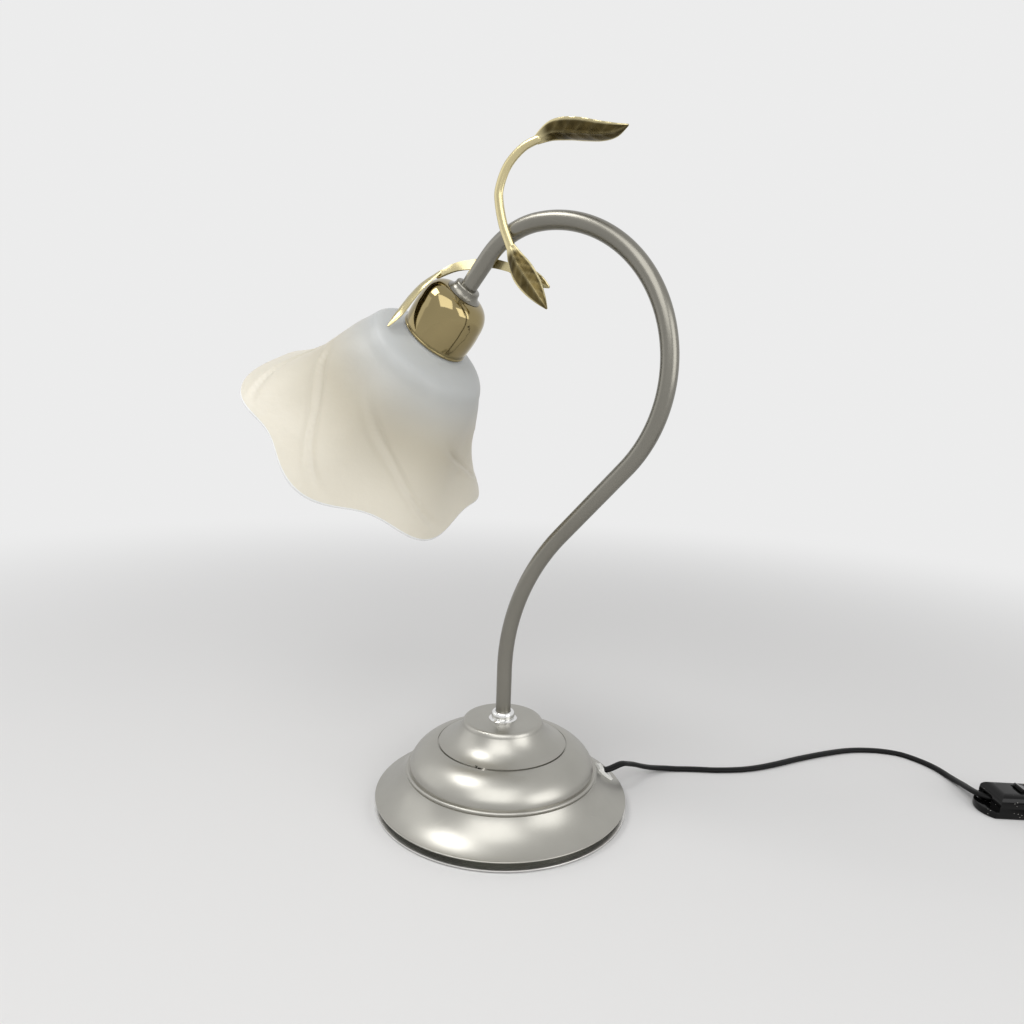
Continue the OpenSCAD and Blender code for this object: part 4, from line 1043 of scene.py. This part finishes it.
def leaf_form(name, rows, at, dark_side):
    """A bowed blade with a midrib, herringbone veins and a rounded rim."""
    rows = smooth_rows(rows, 9)
    across, last = 26, len(rows) - 1
    vein = sizes().vein_height / MM
    rings, rubbed_and_glint = [], []  # rubbed: how bright each point of the leaf is, partly by wear and partly as a painted highlight
    for i, row in enumerate(rows):
        middle, side, up = station_axes(rows, i)
        w, bow = row[6:8]
        v = i / last
        fade = min(1, w / 3.0)
        upper, lower, bright, plain_side = [], [], [], []
        for k in range(across + 1):
            u = -math.cos(math.pi * k / across)
            thick = 0.5 * LEAF_T * max(0.12, (1 - abs(u) ** 5)) ** 0.5
            midrib = 1.5 * math.exp(-(u * w / 0.55) ** 2)
            beat = (v * 8.0 - 0.9 * abs(u)) % 1.0 - 0.5
            ribs = 0.9 * math.exp(-(beat / 0.13) ** 2) * (1 - abs(u)) ** 0.4
            rim = 0.8 * math.exp(-((1 - abs(u)) * w / 0.5) ** 2)
            relief = vein * fade * (midrib + ribs + rim)
            centre = middle + side * (w * u) + up * (bow * (1 - u * u))
            upper.append(centre + up * (thick + relief))
            lower.append(centre - up * (thick + 0.5 * relief))
            # brightness at the rim, at the leaf's base and along the veins: rubbed wear, and partly a
            # painted highlight of glints
            edge = ease((abs(u) - 0.80) / 0.14) + 0.9 * ease((0.16 - v) / 0.12)
            bright.append(min(1, edge + 0.22 * midrib / 1.5 * fade + 0.09 * ribs * fade))
            plain_side.append(min(1, 0.8 + edge))
        if dark_side < 0:
            bright, plain_side = plain_side, bright
        lower.reverse()
        plain_side.reverse()
        rings.append([(p + at) * MM for p in upper + lower[1:-1]])
        rubbed_and_glint.extend(zip(rings[-1], bright + plain_side[1:-1]))
    leaf = ring_run(name, rings, 60)
    give(leaf, "veined_brass")
    near = KDTree(len(rubbed_and_glint))
    for index, (point, _) in enumerate(rubbed_and_glint):
        near.insert(point, index)
    near.balance()
    shares = leaf.data.attributes.new("rubbed_and_glint", "FLOAT", "POINT")
    for vertex in leaf.data.vertices:
        shares.data[vertex.index].value = rubbed_and_glint[near.find(vertex.co)[1]][1]
    return leaf


class LAMP_OT_sprays(bpy.types.Operator):
    """Shape the two brass sprays: their stems and their four veined leaves"""
    bl_idname = "lamp.sprays"
    bl_label = "Leaf sprays"

    def execute(self, context):
        for name, rows, at, node in (
                ("front_spray_stem", FRONT_ROWS, FRONT_AT, "stem_front"),
                ("rear_spray_stem", turned_over(REAR_ROWS), REAR_AT, "stem_rear")):
            dress(spray_stem(name, rows, at), "leaf_brass", node)
        for name, rows, at, node, dark in (
                ("upper_leaf", slimmer(TOP_ROWS, TOP_SHARE), FRONT_AT, "leaf_top", 1),
                ("lower_leaf", LOW_ROWS, FRONT_AT, "leaf_low", 1),
                ("cup_leaf", turned_over(CUP_ROWS), REAR_AT, "leaf_cup", 1),
                ("back_leaf", turned_over(BACK_ROWS), REAR_AT, "leaf_back", -1)):
            dress(leaf_form(name, rows, at, dark), "leaf_brass", node)
        return {"FINISHED"}


# ---------- head ----------
class LAMP_OT_head(bpy.types.Operator):
    """Turn the ferrule and the polished brass cup"""
    bl_idname = "lamp.head"
    bl_label = "Ferrule and cup"

    def execute(self, context):
        flare = bezier((8, 1.0), (8.05, FERRULE_H * 0.45), (8.9, CUP_Z - 1.0), (11, CUP_Z - 0.3), 20)
        ferrule = turned("stem_ferrule", [(HOLE_R, 0), (7.2, 0), (7.6, 0.15), (7.9, 0.6)] + flare
                         + [(11, CUP_Z - 0.12), (10.9, CUP_Z - 0.05), (HOLE_R, CUP_Z - 0.05)], place=AT_HEAD)
        # the ferrule takes the darker nickel copy: painted dark reflection
        give(ferrule, "stem_nickel_painted_reflection")
        dress(ferrule, "satin_nickel", "head_ferrule")
        curve = (bezier((11, CUP_Z), (16.4, CUP_Z + 0.9), (CUP_R - 0.6, CUP_Z + 4.4),
                        (CUP_R - 0.1, CUP_Z + 14), 30)
                 + bezier((CUP_R, CUP_Z + 15), (CUP_R + 0.7, CUP_Z + CUP_LEN * 0.6),
                          (CUP_R + 0.5, CUP_Z + CUP_LEN * 0.8), (CUP_R, CUP_RIM - 1.4), 20))
        rim = arc(CUP_R, CUP_RIM - 0.7, sizes().rim_roll / MM, 0.7, range(-60, 91, 25))
        profile = ([(HOLE_R, CUP_Z)] + curve + rim + [(CUP_R - CUP_T, CUP_RIM - 0.1)]
                   + beside(curve, CUP_T)[:0:-1] + [(9, CUP_Z + CUP_T), (HOLE_R, CUP_Z + CUP_T)])
        cup = turned("brass_cup_form", profile, 144, AT_HEAD, 35)
        dress(cup, "polished_brass", "brass_cup")
        return {"FINISHED"}


BELLY_END, BELLY_R = 60, 36.8
BELLY = [(14.6, 6), (16.2, 11), (18.2, 15.6), (20.6, 18.6), (24, 20.8), (28.6, 23), (34, 26), (41, 29.2),
         (50, 32.8), (BELLY_END, BELLY_R)]
BEND_FROM, BEND_POWER, WAVE_LAG = 38, 1.35, 3
FOLD_AT, FOLD_Z, FOLD_TURN = 6.5, 90, 1.5
VALLEY_W, RIDGE_AT, RIDGE_W, RIDGE_SHARE = 3.4, 5.5, 4.0, 0.6
TIP_ROUND = 0.9


class LAMP_OT_shade(bpy.types.Operator):
    """Spin the glass, bend it into six petals, fold the creases and polish the rim"""
    bl_idname = "lamp.shade"
    bl_label = "Glass shade"

    def execute(self, context):
        span, flare = SHADE_LEN - BELLY_END, RIM_R - NECK_R - BELLY_R
        body = ([(7, NECK_R), (11.6, NECK_R), (13.1, NECK_R + 2.2)] + [(z, NECK_R + r) for z, r in BELLY]
                + [(BELLY_END + span * t, NECK_R + BELLY_R + flare * (0.62 * t + 0.38 * t * t))
                   for t in (0.2, 0.4, 0.6, 0.8, 1.0)])
        outer = [Vector(p) for p in smooth_rows(body, 5)]
        mouth = outer[-1][0]
        inner = []
        for i, p in enumerate(outer):
            h = heading(outer, i)
            wall = GLASS_T * (1 - 0.15 * ease((p[0] - 12) / 6))
            inner.append(Vector((p[0] + wall * h[1], p[1] - wall * h[0])))
        a, b, out = outer[-1], inner[-1], heading(outer, len(outer) - 1)
        arm = (a - b) / 2
        middle = (a + b) / 2 - out * arm.length * TIP_ROUND
        outer[-1], inner[-1] = middle + arm, middle - arm
        tip = [middle + arm * c + out * (arm.length * s)
               for c, s in arc(0, 0, 1, TIP_ROUND, range(30, 151, 30))]
        profile = ([Vector((3, FLANGE_HOLE_R)), Vector((0, FLANGE_HOLE_R)), Vector((0, NECK_R - 1)),
                    Vector((0.3, NECK_R - 0.3)), Vector((1, NECK_R))] + outer + tip + inner[::-1]
                   + [Vector((3.8, NECK_R - GLASS_T)), Vector((3.2, NECK_R - GLASS_T - 0.2)),
                      Vector((3, NECK_R - GLASS_T - 0.6))])
        glass = turned("tulip_glass", [(r, z) for z, r in profile], 288, angle=60)
        give(glass, "frosted_glass", "cut_edge")
        for face in self.rim_faces(glass, [outer[-1]] + tip + [inner[-1]]):
            face.material_index = 1
        for vertex in glass.data.vertices:
            vertex.co = self.bent(vertex.co, mouth)
        placed(glass, AT_HEAD @ Matrix.Translation((0, 0, FLANGE_Z * MM)))
        turn_outward(glass)
        softened(glass, 60)
        dress(glass, "frosted_glass", "glass_shade")
        return {"FINISHED"}

    def rim_faces(self, glass, points):
        """Faces of the rounded rim, found while the glass is still round."""
        rim = set()
        for vertex in glass.data.vertices:
            here = Vector((vertex.co.z, math.hypot(vertex.co.x, vertex.co.y))) / MM
            if min((here - p).length for p in points) < 0.02:
                rim.add(vertex.index)
        return [f for f in glass.data.polygons if all(v in rim for v in f.vertices)]

    def bent(self, co, mouth):
        """Where a point of the round glass goes when the petals are bent."""
        r, q, z = math.hypot(co.x, co.y) / MM, math.atan2(co.y, co.x), co.z / MM
        f = max(0.0, (z - BEND_FROM) / (mouth - BEND_FROM)) ** BEND_POWER
        petal = math.cos(LOBES * (q - math.radians(LOBE_AT)))
        swell = sizes().petal_swell / MM * petal * ease((z - 30) / 16) * (1 - ease((z - 78) / 18))
        r2 = r + f * (LOBE_OUT * petal + MOUTH_SHIFT * math.sin(q)) + swell + self.fold(q, z, r)
        z2 = z + f * (LOBE_DOWN * math.cos(LOBES * (q - math.radians(LOBE_AT - WAVE_LAG)))
                      - SLANT * math.cos(q - math.radians(SLANT_AT)))
        bulge = BELLY_SHIFT * ease((z - 12) / 12) * (1 - ease((z - 34) / (mouth - 34)))
        return Vector(((r2 * math.cos(q) - bulge) * MM, r2 * math.sin(q) * MM, z2 * MM))

    def fold(self, q, z, r):
        """The six folds wind round the bell, each a valley with a soft ridge beside it."""
        turn = 360 / LOBES
        at = math.degrees(q) - FOLD_AT + FOLD_TURN * (z - FOLD_Z)
        away = ((at + turn / 2) % turn - turn / 2) * math.pi / 180 * r
        window = ease((z - 43) / 16) * (1 - ease((z - 88) / 10))
        valley = math.exp(-(away / VALLEY_W) ** 2)
        ridge = math.exp(-((away - RIDGE_AT) / RIDGE_W) ** 2)
        return sizes().crease_depth / MM * window * (RIDGE_SHARE * ridge - valley)


class LAMP_OT_bulb(bpy.types.Operator):
    """Turn the opal bulb"""
    bl_idname = "lamp.bulb"
    bl_label = "Bulb"

    def execute(self, context):
        glass_z = BULB_Z + CAP_LEN
        centre, waist = glass_z + 10 + BULB_R, math.radians(24)
        curve = ([Vector((CAP_R - 0.5, glass_z)), Vector((CAP_R - 0.3, glass_z + 2))]
                 + bezier((CAP_R, glass_z + 3), (CAP_R + 1.2, glass_z + 8),
                          (BULB_R * math.cos(waist) * 0.8, centre - BULB_R * 0.8),
                          (BULB_R * math.cos(waist), centre - BULB_R * math.sin(waist)), 16)
                 + arc(0, centre, BULB_R, BULB_R, range(-20, 89, 4)))
        profile = (curve + [(0.05, centre + BULB_R), (0.05, centre + BULB_R - 1)]
                   + beside(curve, 1)[:0:-1] + [(CAP_R - 1.5, glass_z)])
        dress(turned("opal_bulb_form", profile, place=AT_HEAD, angle=60), "bulb_glass", "bulb_glass")
        return {"FINISHED"}


# ---------- switch ----------
def switch_outline(inset, shorter, steps=22):
    """Outline of the switch: straight sides, shallow round ends, soft corners; the ends cut shorter."""
    length, width = SWITCH_LEN - 2 * inset, SWITCH_W - 2 * inset
    end_r = 0.64 * width
    half = math.degrees(math.asin(min(1, width / 2 / end_r)))
    points = []
    for s in (1, -1):
        c = s * (length / 2 - end_r)
        for k in range(steps + 1):
            q = math.radians(-half + 2 * half * k / steps)
            x = SWITCH_LEN / 2 + c + s * end_r * math.cos(q)
            points.append((min(max(x, shorter), SWITCH_LEN - shorter), s * end_r * math.sin(q)))
    return points


def switch_form(name, rows, angle):
    """A form from rows of inset, of how much shorter its ends are, and of height."""
    return ring_run(name, [[in_switch(x, y, z) * MM for x, y in switch_outline(inset, shorter)]
                           for inset, shorter, z in rows], angle)


AT_SWITCH = (Matrix.Translation((SWITCH_AT[0] * MM, SWITCH_AT[1] * MM, 0))
             @ Matrix.Rotation(math.radians(SWITCH_AZ), 4, "Z"))


def cutter_box(low, high):
    """A block in the switch's frame, in millimetres, used to cut and then removed."""
    begin()
    middle = [(a + b) / 2 * MM for a, b in zip(low, high)]
    bpy.ops.mesh.primitive_cube_add(size=1, location=middle)
    block = named("cutter")
    block.scale = [(b - a) * MM for a, b in zip(low, high)]
    settled(block)
    placed(block, AT_SWITCH)
    return block


def combined(piece, operation, other):
    """Adds another form to a piece or takes it away, and removes the other form."""
    change = piece.modifiers.new("combined", "BOOLEAN")
    change.operation = operation
    change.solver = "EXACT"
    change.object = other
    apply_all(piece)
    bpy.data.objects.remove(other, do_unlink=True)


class LAMP_OT_switch(bpy.types.Operator):
    """Mould the two halves of the in-line switch and its rocker"""
    bl_idname = "lamp.switch"
    bl_label = "Switch"

    def execute(self, context):
        soft = sizes().edge_round / MM
        lower = switch_form("switch_lower_half", (
            (1.1, 0, 0), (0.6, 0, 0.15), (0.2, 0, 0.6), (0.05, 0, 1.1), (0, 0, 1.8), (0, 0, NOSE_Z - soft),
            (soft * 0.3, 0, NOSE_Z - soft * 0.3), (soft, 0, NOSE_Z)), 40)
        combined(lower, "UNION", switch_form("lower_walls", (
            (0.03, NOSE, NOSE_Z - 1.5), (0.03, NOSE, SPLIT_Z - 0.35), (0.12, NOSE, SPLIT_Z - 0.12),
            (0.35, NOSE, SPLIT_Z - 0.02)), 40))
        upper = switch_form("switch_upper_half", [(inset, NOSE + shorter, z) for inset, shorter, z in (
            (0.35, 0.3, SPLIT_Z + 0.02), (0.12, 0.1, SPLIT_Z + 0.12), (0.0, 0.0, SPLIT_Z + 0.35),
            (0.1, 0.1, SWITCH_H - 4.4), (0.45, 0.4, SWITCH_H - 3.3), (1.2, 1.0, SWITCH_H - 2.2),
            (2.2, 1.8, SWITCH_H - 1.3), (3.4, 2.8, SWITCH_H - 0.6), (4.8, 4.0, SWITCH_H - 0.15),
            (6.2, 5.2, SWITCH_H))], 35)
        mid, w = SWITCH_LEN / 2, ROCKER_W / 2 + 0.4
        length = ROCKER_LEN / 2 + 0.8
        combined(upper, "DIFFERENCE", cutter_box((mid - length, -w, SPLIT_Z + 0.6),
                                                 (mid + length, w, SWITCH_H + 2)))
        for piece, node in ((lower, "switch_base"), (upper, "switch_top")):
            for start in (NOSE - 2, SWITCH_LEN - NOSE - 5):
                combined(piece, "DIFFERENCE", cutter_box((start, -2.4, AXIS_Z - 2.3),
                                                         (start + 7, 7.2, AXIS_Z + 2.3)))
            softened(piece, 32)
            dress(piece, "black_gloss", node)
        button = self.rocker()
        return {"FINISHED"}

    def rocker(self):
        half, w = ROCKER_LEN / 2, ROCKER_W / 2
        side = [(-half, -0.6), (-half + 0.2, 4.4), (-half + 1, 4.9), (-half * 0.5, 3.9), (0, 3.3),
                (half * 0.5, 3.9), (half - 1, 4.9), (half - 0.2, 4.4), (half, -0.6),
                (2.6, -2.6), (-2.6, -2.6)]
        pivot = (AT_SWITCH @ Matrix.Translation((SWITCH_LEN / 2 * MM, 0, (SWITCH_H - 3.4) * MM))
                 @ Matrix.Rotation(math.radians(ROCKER_A), 4, "Y"))
        rings = [[Vector((x * k, y, z * (1 - (1 - k) * 0.6) if z > 0 else z * k)) * MM for x, z in side]
                 for y, k in ((-w, 0.955), (-w + 0.12, 0.985), (-w + 0.4, 1.0), (w - 0.4, 1.0),
                              (w - 0.12, 0.985), (w, 0.955))]
        button = ring_run("rocker_button", rings, 25)
        placed(button, pivot)
        rounded(button, 0.00035, 25)
        turn_outward(button)
        softened(button)
        return dress(button, "black_gloss", "switch_rocker", body="rocker")


# ---------- solids that stay, in better finishes ----------
KEPT = {
    "ballast": "cast_iron", "felt_pad": "felt", "lock_washer": "zinc_steel", "lock_nut": "zinc_steel",
    "cord_clip": "white_nylon", "inner_flex": "black_cord", "base_flex": "black_cord",
    "holder_cap": "holder_plastic", "holder_body": "holder_plastic", "screw_shell": "polished_brass",
    "centre_contact": "polished_brass", "shade_ring": "holder_plastic", "bulb_cap": "zinc_steel",
    "switch_pin": "zinc_steel", "switch_screws": "zinc_steel", "plug_body": "black_satin",
    "plug_pins": "chrome",
}


class LAMP_OT_kept(bpy.types.Operator):
    """Give the solids that need no new form their finishes"""
    bl_idname = "lamp.kept"
    bl_label = "Inner pieces"

    def execute(self, context):
        for node, name in KEPT.items():
            give(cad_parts[node], name)
        return {"FINISHED"}


class LAMP_PT_panel(bpy.types.Panel):
    """Steps and settings of the lamp"""
    bl_idname = "LAMP_PT_panel"
    bl_label = "Tulip shade lamp"
    bl_space_type = "VIEW_3D"
    bl_region_type = "UI"
    bl_category = "Lamp"

    def draw(self, context):
        for step in STEPS:
            self.layout.operator(step.bl_idname)
        for group in (sizes(), finishes()):
            box = self.layout.box()
            for key in type(group).__annotations__:
                box.prop(group, key)


STEPS = (LAMP_OT_stage, LAMP_OT_cords, LAMP_OT_foot, LAMP_OT_crown, LAMP_OT_collar, LAMP_OT_stem,
         LAMP_OT_sprays, LAMP_OT_head, LAMP_OT_shade, LAMP_OT_bulb, LAMP_OT_switch, LAMP_OT_kept)
CLASSES = (LampSizes, LampFinishes) + STEPS + (LAMP_PT_panel,)


def register():
    for item in CLASSES:
        bpy.utils.register_class(item)
    bpy.types.Scene.lamp_sizes = bpy.props.PointerProperty(type=LampSizes)
    bpy.types.Scene.lamp_finishes = bpy.props.PointerProperty(type=LampFinishes)


def unregister():
    del bpy.types.Scene.lamp_finishes
    del bpy.types.Scene.lamp_sizes
    for item in reversed(CLASSES):
        bpy.utils.unregister_class(item)


def main():
    register()
    for step in STEPS:
        group, name = step.bl_idname.split(".")
        getattr(getattr(bpy.ops, group), name)()
    begin()


if __name__ == "__main__":
    main()
